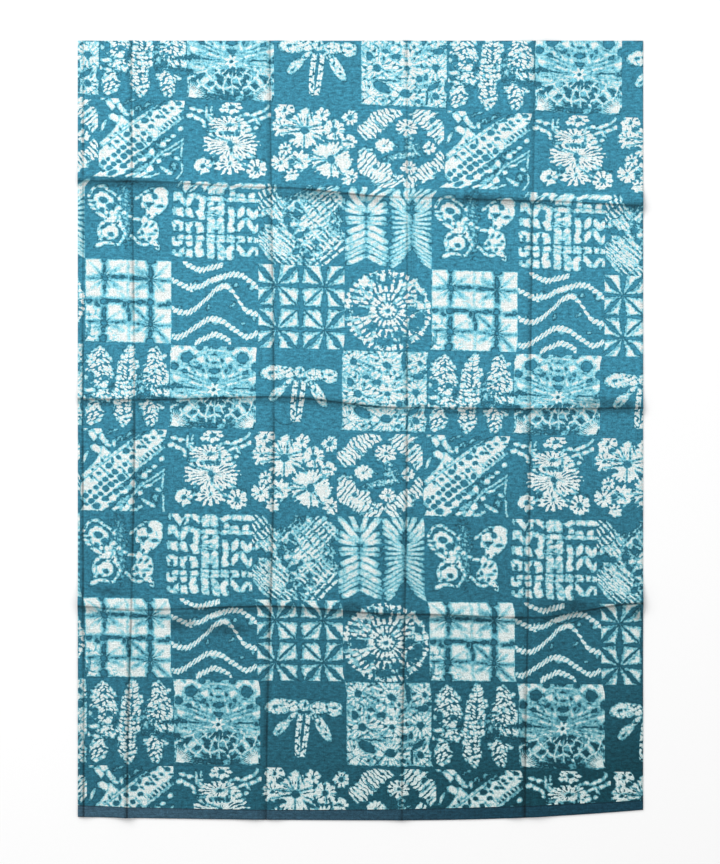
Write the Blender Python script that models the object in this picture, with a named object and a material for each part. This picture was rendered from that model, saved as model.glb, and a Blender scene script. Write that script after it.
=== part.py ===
"""A cut length of block-printed sari cloth, lying flat with its packing folds.

Metres, +Z up. The cloth rests on Z = 0 and is centred on the origin in X and Y.
X runs along the sari and Y across its loom width. The woven selvedge is the
edge at -Y, and the other three edges are plain cuts. The cloth is one sheet:
its packing folds stand up from it as soft ridges, or dip between two swells.
"""

import math
from dataclasses import dataclass

import bmesh
import bpy

CLOTH_LENGTH_X = 0.725
CLOTH_WIDTH_Y = 1.000
CLOTH_THICKNESS = 0.0012

# The selvedge band is a little thicker than the ground, and steps down to it
# over a short slope. Its edge is lowest at one X and curves up to both ends.
SELVEDGE_WIDTH = 0.016
SELVEDGE_EXTRA = 0.0004
SELVEDGE_SLOPE = 0.002
SELVEDGE_LOWEST_X = 0.053
SELVEDGE_LEFT_RISE = 0.0045
SELVEDGE_RIGHT_RISE = 0.0135
SELVEDGE_CURVE_REACH = 0.120

RIDGE = "ridge"
VALLEY = "valley"

# Grid lines lie on each fold and at these distances on both sides of it.
FOLD_LINE_OFFSETS = (0.005, 0.013, 0.026, 0.040)
PLAIN_LINE_GAP = 0.060
LEAST_LINE_GAP = 0.004

SHARP_ANGLE_DEG = 50.0
DYED_COTTON_COLOUR = (0.085, 0.315, 0.405, 1.0)
DYED_COTTON_ROUGHNESS = 0.85

HALF_X = CLOTH_LENGTH_X / 2
HALF_Y = CLOTH_WIDTH_Y / 2


@dataclass(frozen=True)
class UprightFold:
    """A fold that runs along Y, from the selvedge to the far edge."""

    name: str
    kind: str
    x_selvedge: float
    x_middle: float
    x_far: float
    height: float
    reach_left: float
    reach_right: float
    unevenness: float
    waves: float
    phase: float

    def place(self, y):
        """The fold's X at a given Y, on the curve through its three stations."""
        along = y / HALF_Y
        lean = (self.x_far - self.x_selvedge) / 2
        bow = (self.x_far + self.x_selvedge) / 2 - self.x_middle
        return self.x_middle + lean * along + bow * along * along


@dataclass(frozen=True)
class LevelFold:
    """A fold that runs along X, with its Y at the two edges and at the upright folds."""

    name: str
    kind: str
    y_left: float
    y_first: float
    y_second: float
    y_third: float
    y_fourth: float
    y_right: float
    height: float
    reach_near: float
    reach_far: float
    unevenness: float
    waves: float
    phase: float

    def place(self, x):
        """The fold's Y at a given X, easing from each station to the next."""
        stations = (-HALF_X, *(fold.x_middle for fold in UPRIGHT_FOLDS[1:]), HALF_X)
        values = (self.y_left, self.y_first, self.y_second, self.y_third, self.y_fourth, self.y_right)
        for index in range(len(stations) - 1):
            if x <= stations[index + 1]:
                break
        span = stations[index + 1] - stations[index]
        share = eased((x - stations[index]) / span)
        return values[index] + (values[index + 1] - values[index]) * share


@dataclass(frozen=True)
class Pucker:
    """A short swell beside a fold, longer one way than the other."""

    name: str
    x: float
    y: float
    height: float
    half_length: float
    half_width: float
    turn_deg: float

    def rise(self, x, y):
        """The swell's height at a point."""
        turn = math.radians(self.turn_deg)
        along = (x - self.x) * math.cos(turn) + (y - self.y) * math.sin(turn)
        across = (y - self.y) * math.cos(turn) - (x - self.x) * math.sin(turn)
        spread = (along / self.half_length) ** 2 + (across / self.half_width) ** 2
        return self.height * max(0.0, 1.0 - spread) ** 2


UPRIGHT_FOLDS = (
    # name, kind, x at selvedge / middle / far edge, height, reach left / right, unevenness, waves, phase
    UprightFold("edge_fold", RIDGE, -0.3550, -0.3550, -0.3545, 0.0030, 0.0070, 0.018, 0.25, 3.0, 0.4),
    UprightFold("first_fold", RIDGE, -0.2990, -0.2897, -0.2935, 0.0050, 0.026, 0.013, 0.35, 2.5, 2.9),
    UprightFold("second_fold", VALLEY, -0.1212, -0.1110, -0.1161, 0.0024, 0.040, 0.026, 0.30, 3.5, 1.2),
    UprightFold("third_fold", RIDGE, 0.0532, 0.0597, 0.0597, 0.0042, 0.026, 0.014, 0.40, 2.0, 4.4),
    UprightFold("fourth_fold", VALLEY, 0.2111, 0.2175, 0.2232, 0.0026, 0.026, 0.040, 0.30, 3.0, 5.3),
)

LEVEL_FOLDS = (
    # name, kind, y at left edge / the four upright folds / right edge, height, reach near / far,
    # unevenness, waves, phase
    LevelFold("far_fold", RIDGE, 0.3201, 0.3188, 0.3111, 0.2983, 0.2944, 0.2880,
              0.0060, 0.013, 0.034, 0.25, 2.2, 0.9),
    LevelFold("middle_fold", RIDGE, 0.0404, 0.0391, 0.0430, 0.0289, 0.0276, 0.0289,
              0.0045, 0.012, 0.026, 0.35, 3.1, 3.6),
    LevelFold("near_fold", RIDGE, -0.2252, -0.2303, -0.2252, -0.2354, -0.2400, -0.2213,
              0.0065, 0.020, 0.040, 0.30, 1.8, 2.2),
)

PUCKERS = (
    # name, x, y, height, half length, half width, turn
    Pucker("second_crossing", -0.1033, 0.0263, 0.0030, 0.026, 0.012, 60.0),
    Pucker("third_crossing", 0.0738, 0.0160, 0.0032, 0.024, 0.011, -55.0),
    Pucker("near_wave", 0.2560, -0.2329, 0.0050, 0.062, 0.020, 12.0),
    Pucker("near_left_tuck", -0.3265, -0.2175, 0.0030, 0.028, 0.012, -60.0),
    Pucker("near_right_tuck", 0.3050, -0.2680, 0.0035, 0.045, 0.018, -35.0),
    Pucker("far_tuck", -0.0620, 0.2850, 0.0028, 0.040, 0.014, 15.0),
)


def eased(share):
    """A smooth step from 0 to 1, held at its ends."""
    share = min(1.0, max(0.0, share))
    return share * share * (3.0 - 2.0 * share)


def fold_rise(fold, offset, reach, along):
    """The height that a fold adds at an offset from its line.

    A ridge has a crease at its top and runs out softly. A valley has its
    crease on the ground and a low swell on each side.
    """
    share = abs(offset) / reach
    if share >= 1.0:
        return 0.0
    height = fold.height * (1.0 + fold.unevenness * math.sin(math.tau * fold.waves * along + fold.phase))
    if fold.kind == RIDGE:
        return height * (1.0 - share) ** 2
    peak_scale = 27.0 / 4.0
    return height * peak_scale * share * (1.0 - share) ** 2


def cloth_height(x, y):
    """How far the underside of the cloth stands above the ground at a point.

    Where folds and puckers meet, their heights blend as the sides of a
    right-angled triangle do, so that a crossing isn't as high as their sum.
    """
    rises = []
    for fold in UPRIGHT_FOLDS:
        offset = x - fold.place(y)
        reach = fold.reach_left if offset < 0 else fold.reach_right
        rises.append(fold_rise(fold, offset, reach, y / CLOTH_WIDTH_Y))
    for fold in LEVEL_FOLDS:
        offset = y - fold.place(x)
        reach = fold.reach_near if offset < 0 else fold.reach_far
        rises.append(fold_rise(fold, offset, reach, x / CLOTH_LENGTH_X))
    for pucker in PUCKERS:
        rises.append(pucker.rise(x, y))
    return math.hypot(*rises)


def selvedge_curve(x):
    """How far the selvedge edge lies in from its lowest point at a given X."""
    if x < SELVEDGE_LOWEST_X:
        share = (SELVEDGE_LOWEST_X - x) / (SELVEDGE_LOWEST_X + HALF_X)
        return SELVEDGE_LEFT_RISE * share * share
    share = (x - SELVEDGE_LOWEST_X) / (HALF_X - SELVEDGE_LOWEST_X)
    return SELVEDGE_RIGHT_RISE * share * share


def lines_between(low, high, fold_lines):
    """Grid lines from low to high: each fold, its offsets, and an even fill between.

    Each line is a pair of a fold's index and an offset from it, or None and a
    fixed place.
    """
    fixed = [(low, None, low), (high, None, high)]
    for index, place in enumerate(fold_lines):
        fixed.append((place, index, 0.0))
        for offset in FOLD_LINE_OFFSETS:
            for signed in (-offset, offset):
                fixed.append((place + signed, index, signed))
    fixed.sort(key=lambda line: line[0])
    priority = [line for line in fixed if line[1] is None or line[2] == 0.0]
    kept = []
    for line in fixed:
        if not low <= line[0] <= high:
            continue
        if line in priority or all(abs(line[0] - other[0]) >= LEAST_LINE_GAP for other in priority + kept):
            kept.append(line)
    filled = []
    for line, following in zip(kept, kept[1:]):
        filled.append(line)
        steps = math.ceil((following[0] - line[0]) / PLAIN_LINE_GAP)
        for step in range(1, steps):
            place = line[0] + (following[0] - line[0]) * step / steps
            filled.append((place, None, place))
    filled.append(kept[-1])
    return filled


def column_x(line, y):
    """The X of one grid column at a given Y."""
    place, index, offset = line
    if index is None:
        return place
    return UPRIGHT_FOLDS[index].place(y) + offset


def row_y(line, x):
    """The Y of one grid row at a given X."""
    place, index, offset = line
    if index is not None:
        return LEVEL_FOLDS[index].place(x) + offset
    above_band = place + HALF_Y - SELVEDGE_WIDTH - SELVEDGE_SLOPE
    return place + selvedge_curve(x) * (1.0 - eased(above_band / SELVEDGE_CURVE_REACH))


def grid_lines():
    """The columns and rows of the cloth's grid, in order."""
    columns = lines_between(-HALF_X, HALF_X, [fold.x_middle for fold in UPRIGHT_FOLDS])
    rows = lines_between(-HALF_Y, HALF_Y, [fold.place(0.0) for fold in LEVEL_FOLDS])
    band_top = -HALF_Y + SELVEDGE_WIDTH
    slope_top = band_top + SELVEDGE_SLOPE
    rows[1:1] = [(band_top, None, band_top), (slope_top, None, slope_top)]
    return columns, rows


def dyed_cotton():
    """The plain dyed cotton of the cloth."""
    material = bpy.data.materials.new("dyed_cotton")
    material.use_nodes = True
    shader = material.node_tree.nodes["Principled BSDF"]
    shader.inputs["Base Color"].default_value = DYED_COTTON_COLOUR
    shader.inputs["Roughness"].default_value = DYED_COTTON_ROUGHNESS
    shader.inputs["Metallic"].default_value = 0.0
    return material


def shape_grid(mesh, columns, rows):
    """Move a flat grid's points on to the folds, at the cloth's underside."""
    count = len(columns)
    mesh.verts.ensure_lookup_table()
    ordered = sorted(mesh.verts, key=lambda vert: (round(vert.co.y, 5), vert.co.x))
    for number, vert in enumerate(ordered):
        column = columns[number % count]
        row = rows[number // count]
        x = column_x(column, row[0])
        y = row_y(row, column[0])
        vert.co = (x, y, cloth_height(x, y))


def thickness_at(x, y):
    """The cloth's thickness, which is greater in the selvedge band."""
    above_edge = y + HALF_Y - selvedge_curve(x)
    if above_edge < SELVEDGE_WIDTH + SELVEDGE_SLOPE / 2:
        return CLOTH_THICKNESS + SELVEDGE_EXTRA
    return CLOTH_THICKNESS


def build_cloth():
    """The cloth as one closed sheet: a folded grid with its thickness above it."""
    columns, rows = grid_lines()
    shape = bmesh.new()
    bmesh.ops.create_grid(shape, x_segments=len(columns) - 1, y_segments=len(rows) - 1, size=1.0)
    shape_grid(shape, columns, rows)
    raised = bmesh.ops.extrude_face_region(shape, geom=shape.faces[:])
    for element in raised["geom"]:
        if isinstance(element, bmesh.types.BMVert):
            element.co.z += thickness_at(element.co.x, element.co.y)
    bmesh.ops.recalc_face_normals(shape, faces=shape.faces[:])
    mesh = bpy.data.meshes.new("sari_cloth")
    shape.to_mesh(mesh)
    shape.free()
    mesh.shade_smooth()
    mesh.set_sharp_from_angle(angle=math.radians(SHARP_ANGLE_DEG))
    mesh.materials.append(dyed_cotton())
    cloth = bpy.data.objects.new("sari_cloth", mesh)
    bpy.context.scene.collection.objects.link(cloth)
    return cloth


def clear_scene():
    """Remove whatever the open file already holds."""
    for old in list(bpy.data.objects):
        bpy.data.objects.remove(old, do_unlink=True)


clear_scene()
build_cloth()
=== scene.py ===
"""A cut length of block-printed sari cloth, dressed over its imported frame.

The cloth is one thin sheet that lies on the folds of its solid. It is printed
with sixteen square blocks in a four by four repeat, each drawn in resist: a
tone of 0 is dyed ground, about a half is the pale blue bleed at a motif's
edge, and 1 is undyed cotton.
"""

import functools
import logging
import math
from dataclasses import dataclass
from enum import Enum
from typing import Iterable, NamedTuple, Sequence, Union

import bmesh
import bpy
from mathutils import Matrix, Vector, noise
from mathutils.bvhtree import BVHTree


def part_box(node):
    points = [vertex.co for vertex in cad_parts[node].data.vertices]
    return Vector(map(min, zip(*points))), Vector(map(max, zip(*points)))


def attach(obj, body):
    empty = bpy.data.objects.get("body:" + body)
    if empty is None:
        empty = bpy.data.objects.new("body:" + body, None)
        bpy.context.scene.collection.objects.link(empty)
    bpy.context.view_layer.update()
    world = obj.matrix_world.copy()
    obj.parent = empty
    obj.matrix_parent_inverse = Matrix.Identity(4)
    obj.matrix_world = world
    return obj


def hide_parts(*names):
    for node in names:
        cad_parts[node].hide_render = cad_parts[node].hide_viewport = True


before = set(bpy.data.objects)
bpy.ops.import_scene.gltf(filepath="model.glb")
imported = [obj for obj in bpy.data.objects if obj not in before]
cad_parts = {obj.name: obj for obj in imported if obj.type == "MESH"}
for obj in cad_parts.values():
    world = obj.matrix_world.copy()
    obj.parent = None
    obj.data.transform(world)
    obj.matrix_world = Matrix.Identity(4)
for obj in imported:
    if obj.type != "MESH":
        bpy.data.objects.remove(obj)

LOG = logging.getLogger("sari_cloth")

Number = Union["Field", float]
# A chart of small touches of resist: the centre's X and Y, the half length and half width in hundredths of a
# block, and the turn of the length in degrees, which is left out where it is 0.
Chart = Sequence[tuple[float, ...]]
Colour = Sequence[float] | bpy.types.NodeSocket


def feed(entry: bpy.types.NodeSocket, value: "Number | Colour") -> None:
    """Join a node's input to a field or a socket, or set it to a plain number or colour."""
    source = value.socket if isinstance(value, Field) else value
    if isinstance(source, bpy.types.NodeSocket):
        entry.id_data.links.new(source, entry)
    else:
        entry.default_value = source


def largest(fields: Iterable["Field"]) -> "Field":
    """The largest of several numbers, as when shapes are laid over each other."""
    return functools.reduce(Field.larger, fields)


class Field:
    """A number that varies over the cloth, held by a shader node's output."""

    def __init__(self, socket: bpy.types.NodeSocket) -> None:
        """Wrap the shader node's output that carries the number."""
        self.socket = socket

    def worked(self, operation: str, *others: Number, clamp: bool = False) -> "Field":
        """Apply one Math node.

        Args:
            operation: the Math node's operation.
            others: its other inputs.
            clamp: True to hold the result between 0 and 1.

        Returns:
            The result.
        """
        node = self.socket.id_data.nodes.new("ShaderNodeMath")
        node.operation = operation
        node.use_clamp = clamp
        for entry, value in zip(node.inputs, (self, *others)):
            feed(entry, value)
        return Field(node.outputs[0])

    def __add__(self, other: Number) -> "Field":
        """The sum with another number."""
        return self.worked("ADD", other)

    def __sub__(self, other: Number) -> "Field":
        """The difference from another number."""
        return self.worked("SUBTRACT", other)

    def __mul__(self, other: Number) -> "Field":
        """The product with another number."""
        return self.worked("MULTIPLY", other)

    def scaled(self, factor: Number, shift: Number) -> "Field":
        """This number times a factor, plus a shift."""
        return self.worked("MULTIPLY_ADD", factor, shift)

    def inverse(self) -> "Field":
        """One minus this number."""
        return self.worked("MULTIPLY_ADD", -1.0, 1.0)

    def larger(self, other: Number) -> "Field":
        """The larger of two numbers."""
        return self.worked("MAXIMUM", other)

    def smaller(self, other: Number) -> "Field":
        """The smaller of two numbers."""
        return self.worked("MINIMUM", other)

    def without(self, other: "Field") -> "Field":
        """This tone where another one isn't."""
        return self.smaller(other.inverse())

    def size(self) -> "Field":
        """The number without its sign."""
        return self.worked("ABSOLUTE")

    def folded(self, period: float) -> "Field":
        """A triangle wave of this number, from 0 to half the period."""
        return self.worked("PINGPONG", period / 2)

    def wave(self, turns: float, shift: float = 0.0) -> "Field":
        """A cosine of this number, in turns, with its start shifted by a share of a turn."""
        return self.scaled(math.tau * turns, math.tau * shift).worked("COSINE")

    def ramp(self, low: float, high: float, held: bool = True) -> "Field":
        """A straight ramp, 0 at low and 1 at high, which may be the smaller; held keeps it from 0 to 1."""
        span = high - low
        return self.worked("MULTIPLY_ADD", 1.0 / span, -low / span, clamp=held)

    def within(self, reach: float, edge: float) -> "Field":
        """1 where this number is nearer to 0 than a reach, with an edge of this half width."""
        return self.size().ramp(reach + edge, reach - edge)

    def blend(self, low: Number, high: Number) -> "Field":
        """A mix of two numbers by this one, which runs from 0 for low to 1 for high."""
        node = self.socket.id_data.nodes.new("ShaderNodeMix")
        node.data_type = "FLOAT"
        for name, value in zip(("Factor", "A", "B"), (self, low, high)):
            feed(node.inputs[name], value)
        return Field(node.outputs[0])

    def along(self, stations: Sequence[tuple[float, float]]) -> "Field":
        """A smooth curve of this number through a few stations.

        Args:
            stations: pairs of this number, from 0 to 1, and the curve's height there.

        Returns:
            The curve's height.
        """
        tree = self.socket.id_data
        node = tree.nodes.new("ShaderNodeFloatCurve")
        points = node.mapping.curves[0].points
        while len(points) < len(stations):
            points.new(0.5, 0.5)
        for point, station in zip(points, stations):
            point.location = station
        node.mapping.use_clip = False
        node.mapping.extend = "HORIZONTAL"
        node.mapping.update()
        tree.links.new(self.socket, node.inputs["Value"])
        return Field(node.outputs[0])


class Place:
    """A place on a block: a shader vector with X and Y in block widths."""

    def __init__(self, socket: bpy.types.NodeSocket) -> None:
        """Wrap the shader node's output that carries the vector."""
        self.socket = socket
        self.parts = None

    def node(self, kind: str, entry: str | int = "Vector") -> bpy.types.ShaderNode:
        """Add a shader node that reads this place.

        Args:
            kind: the node's type.
            entry: the name or the number of the input that takes the place.

        Returns:
            The node.
        """
        tree = self.socket.id_data
        node = tree.nodes.new(kind)
        tree.links.new(self.socket, node.inputs[entry])
        return node

    def worked(self, operation: str, *others: "Sequence[float] | Place") -> bpy.types.ShaderNode:
        """Apply one Vector Math node.

        Args:
            operation: the node's operation.
            others: its other inputs.

        Returns:
            The node.
        """
        node = self.node("ShaderNodeVectorMath", 0)
        node.operation = operation
        for entry, value in zip(list(node.inputs)[1:], others):
            feed(entry, value.socket if isinstance(value, Place) else value)
        return node

    def part(self, index: int) -> Field:
        """One coordinate of the place: 0 for X and 1 for Y."""
        if self.parts is None:
            self.parts = self.node("ShaderNodeSeparateXYZ").outputs
        return Field(self.parts[index])

    @property
    def x(self) -> Field:
        """The place's X."""
        return self.part(0)

    @property
    def y(self) -> Field:
        """The place's Y."""
        return self.part(1)

    def around(self, x: float, y: float, turn: float = 0.0, unit_x: float = 1.0,
               unit_y: float = 1.0) -> "Place":
        """See the place from another centre.

        Args:
            x: the centre's X.
            y: the centre's Y.
            turn: how far the new axes are turned, in degrees.
            unit_x: the length that counts as 1 along the new X.
            unit_y: the length that counts as 1 along the new Y.

        Returns:
            The place on the new axes.
        """
        source = self
        if turn:
            turned = self.node("ShaderNodeVectorRotate")
            turned.rotation_type = "Z_AXIS"
            turned.inputs["Center"].default_value = (x, y, 0.0)
            turned.inputs["Angle"].default_value = math.radians(-turn)
            source = Place(turned.outputs[0])
        scale = (1.0 / unit_x, 1.0 / unit_y, 0.0)
        return Place(source.worked("MULTIPLY_ADD", scale, (-x / unit_x, -y / unit_y, 0.0)).outputs[0])

    def distance(self) -> Field:
        """How far the place is from its centre."""
        return Field(self.worked("LENGTH").outputs["Value"])

    def squared(self) -> "Place":
        """The place with each coordinate squared."""
        return Place(self.worked("MULTIPLY", self).outputs[0])

    def turns(self) -> Field:
        """The place's direction from its centre, from -0.5 to 0.5 of a turn."""
        return self.y.worked("ARCTAN2", self.x) * (1.0 / math.tau)

    def grain(self, scale: float, detail: float = 1.0, rough: float = 0.5) -> Field:
        """Cloudy noise over the place, around 0.5. The numbers are as for clouds."""
        return Field(self.clouds(scale, detail, rough).outputs[0])

    def pebbles(self, pitch_x: float, pitch_y: float, random: float = 0.7, net: bool = False) -> Field:
        """How far the place is from the nearest of many scattered points, or from the net between them.

        Args:
            pitch_x: the points' mean spacing along X.
            pitch_y: their mean spacing along Y.
            random: how far they stray from even rows.
            net: True for the distance from the net.

        Returns:
            The distance, in spacings.
        """
        node = self.around(0.0, 0.0, 0.0, pitch_x, pitch_y).node("ShaderNodeTexVoronoi")
        node.voronoi_dimensions = "2D"
        node.feature = "DISTANCE_TO_EDGE" if net else "F1"
        node.inputs["Scale"].default_value = 1.0
        node.inputs["Randomness"].default_value = random
        return Field(node.outputs["Distance"])

    def mirrored(self, x: float) -> "Place":
        """The place folded over an upright line, so that what is drawn once shows on both sides."""
        return Place(self.around(x, 0.0).worked("ABSOLUTE").outputs[0])

    @staticmethod
    def joined(x: Field, y: Field) -> "Place":
        """The place with these coordinates."""
        node = x.socket.id_data.nodes.new("ShaderNodeCombineXYZ")
        feed(node.inputs[0], x)
        feed(node.inputs[1], y)
        return Place(node.outputs[0])

    def polar(self, rays: float, pitch: float) -> "Place":
        """The place as its direction, in rays of a full turn, and its distance, in pitches."""
        return Place.joined(self.turns() * rays, self.distance() * (1.0 / pitch))

    def moved(self, x: Number, y: Number) -> "Place":
        """The place with numbers added to its X and Y."""
        return Place.joined(self.x + x, self.y + y)

    def clouds(self, scale: float, detail: float, rough: float) -> bpy.types.ShaderNode:
        """Add a flat Noise node over the place.

        Args:
            scale: how many clouds there are in a unit.
            detail: how many finer layers there are.
            rough: how strong the finer layers are.

        Returns:
            The node.
        """
        node = self.node("ShaderNodeTexNoise")
        node.noise_dimensions = "2D"
        node.inputs["Scale"].default_value = scale
        node.inputs["Detail"].default_value = detail
        node.inputs["Roughness"].default_value = rough
        return node

    def stirred(self, scale: float, amount: float, detail: float = 1.0) -> "Place":
        """The place pushed about by noise, so that what is drawn there wobbles.

        Args:
            scale: how many wobbles there are in a unit.
            amount: how far a place moves, at most.
            detail: how many finer layers the noise has.

        Returns:
            The moved place.
        """
        clouds = Place(self.clouds(scale, detail, 0.6).outputs["Color"])
        push = clouds.worked("MULTIPLY_ADD", (2.0 * amount, 2.0 * amount, 0.0), (-amount, -amount, 0.0))
        return Place(self.worked("ADD", Place(push.outputs[0])).outputs[0])


class Bloom(NamedTuple):
    """One tied circle: rays round a dark middle, with slits between them that widen outwards."""

    x: float
    y: float
    radius: float
    rays: float
    hole: float = 0.22
    slit: float = 0.6
    squash: float = 1.0
    turn: float = 0.0


class Stencil:
    """What draws a block: its place on the cloth and the shapes that resist the dye."""

    crisp = 0.030
    soft = 0.060

    def __init__(self, place: Place) -> None:
        """Take the block's own place, from 0 to 1 each way, to draw the shapes on."""
        self.place = place
        self.tatter = None

    # In these shapes x and y are the centre, long and wide the half length and half width, turn the turn of
    # the length in degrees, and edge the width of the bleed.
    def oval(self, x: float, y: float, long: float, wide: float, turn: float = 0.0,
             edge: float = crisp) -> Field:
        """A filled oval: 1 inside, a half on the outline and 0 outside."""
        inside = 0.5 * edge / min(long, wide)
        return self.place.around(x, y, turn, long, wide).distance().ramp(1.0 + inside, 1.0 - inside)

    def dabs(self, chart: Chart, edge: float = crisp, blunt: bool = False, swell: float = 0.0) -> Field:
        """Every touch of a chart, laid over each other.

        Args:
            chart: the touches.
            edge: the width of their bleed.
            blunt: True for strokes with blunt ends instead of ovals.
            swell: how much is added to each half size, in hundredths of a block.

        Returns:
            The tone.
        """
        drawn = []
        for x, y, long, wide, *turn in chart:
            sizes = ((long + swell) / 100.0, (wide + swell) / 100.0)
            local = self.place.around(x / 100.0, y / 100.0, *(turn or (0.0,)), *sizes)
            inside = 0.5 * edge / min(sizes)
            if blunt:
                local = local.squared()
                inside = 2.0 * inside
            drawn.append(local.distance().ramp(1.0 + inside, 1.0 - inside, held=False))
        return largest(drawn).worked("ADD", 0.0, clamp=True)

    def strokes(self, chart: Chart, edge: float = crisp, swell: float = 0.0) -> Field:
        """Every stroke of a chart: touches with blunt ends."""
        return self.dabs(chart, edge, True, swell)

    def bar(self, x: float, y: float, long: float, wide: float, turn: float = 0.0,
            edge: float = crisp) -> Field:
        """A filled rectangle."""
        local = self.place.around(x, y, turn)
        return local.x.within(long, edge / 2).smaller(local.y.within(wide, edge / 2))

    def ring(self, x: float, y: float, long: float, wide: float, wall: float, turn: float = 0.0,
             edge: float = crisp) -> Field:
        """An oval outline; the wall is half its thickness."""
        least = min(long, wide)
        offset = self.place.around(x, y, turn, long, wide).distance().scaled(least, -least)
        return offset.within(wall, edge / 2)

    def stripes(self, across: Field, period: float, share: float, edge: float = crisp) -> Field:
        """Parallel stripes where a number is near a whole period; the share is a period's white part."""
        half = period * share / 2
        return across.folded(period).ramp(half + edge / 2, half - edge / 2)

    def bloom(self, bloom: Bloom, edge: float = crisp) -> Field:
        """A tied circle with ragged rays.

        Args:
            bloom: its sizes.
            edge: the width of its bleed.

        Returns:
            The tone.
        """
        if self.tatter is None:
            self.tatter = self.place.grain(19.0, 1.0).scaled(5.0, -2.5)
        radius = bloom.radius
        local = self.place.around(bloom.x, bloom.y, bloom.turn, radius, radius * bloom.squash)
        reach = local.distance()
        ray = local.turns().wave(bloom.rays) + self.tatter
        share = edge / radius
        rim = (reach - ray * 0.09).ramp(1.0 + share / 2, 1.0 - share / 2)
        slits = (ray - reach * (1.7 * bloom.slit)).ramp(-1.75, -1.15)
        middle = reach.ramp(bloom.hole - share / 2, bloom.hole + share / 2)
        return rim.smaller(slits).smaller(middle)

    def blooms(self, table: Iterable[Bloom], edge: float = crisp) -> Field:
        """Every bloom of a table, laid over each other.

        Args:
            table: the blooms.
            edge: the width of their bleed.

        Returns:
            The tone.
        """
        return largest([self.bloom(entry, edge) for entry in table])


class Block:
    """One printed block. Each kind draws its own motif on a stencil."""

    wobble = 0.010
    ragged = 0.006
    # How strongly fine noise eats into the edges, and how many of its clouds there are in a block.
    bite = 0.9
    bite_scale = 26.0

    def draw(self, stencil: Stencil) -> Field:
        """Draw the motif.

        Args:
            stencil: what draws on the block.

        Returns:
            The tone over the block.
        """
        raise NotImplementedError

    def tone(self, place: Place) -> Field:
        """The finished tone: the motif on a place that wobbles as tied cloth does, with bitten edges.

        Args:
            place: the block's own coordinates.

        Returns:
            The tone over the block.
        """
        stirred = place.stirred(9.0, self.wobble).stirred(38.0, self.ragged)
        drawn = self.draw(Stencil(stirred))
        bites = place.grain(self.bite_scale, 1.0, 0.6).scaled(self.bite, -self.bite * 0.54)
        return drawn + bites * drawn.ramp(0.0, 0.20)


class ChartedBlock(Block):
    """A block drawn from charts: white strokes and dabs, holes in them, and pale touches beside them."""

    strokes: Chart = ()
    dabs: Chart = ()
    holes: Chart = ()
    pale: Chart = ()
    pale_tone = 0.55
    hole_edge = 0.034
    swell = -0.2

    def draw(self, stencil: Stencil) -> Field:
        """Draw the charts over each other."""
        charts = ((self.strokes, True), (self.dabs, False))
        drawn = [stencil.dabs(chart, blunt=blunt, swell=self.swell) for chart, blunt in charts if chart]
        tone = largest(drawn)
        if self.pale:
            tone = tone.larger(stencil.dabs(self.pale, Stencil.soft) * self.pale_tone)
        if self.holes:
            tone = tone.without(stencil.dabs(self.holes, self.hole_edge))
        return tone


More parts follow.
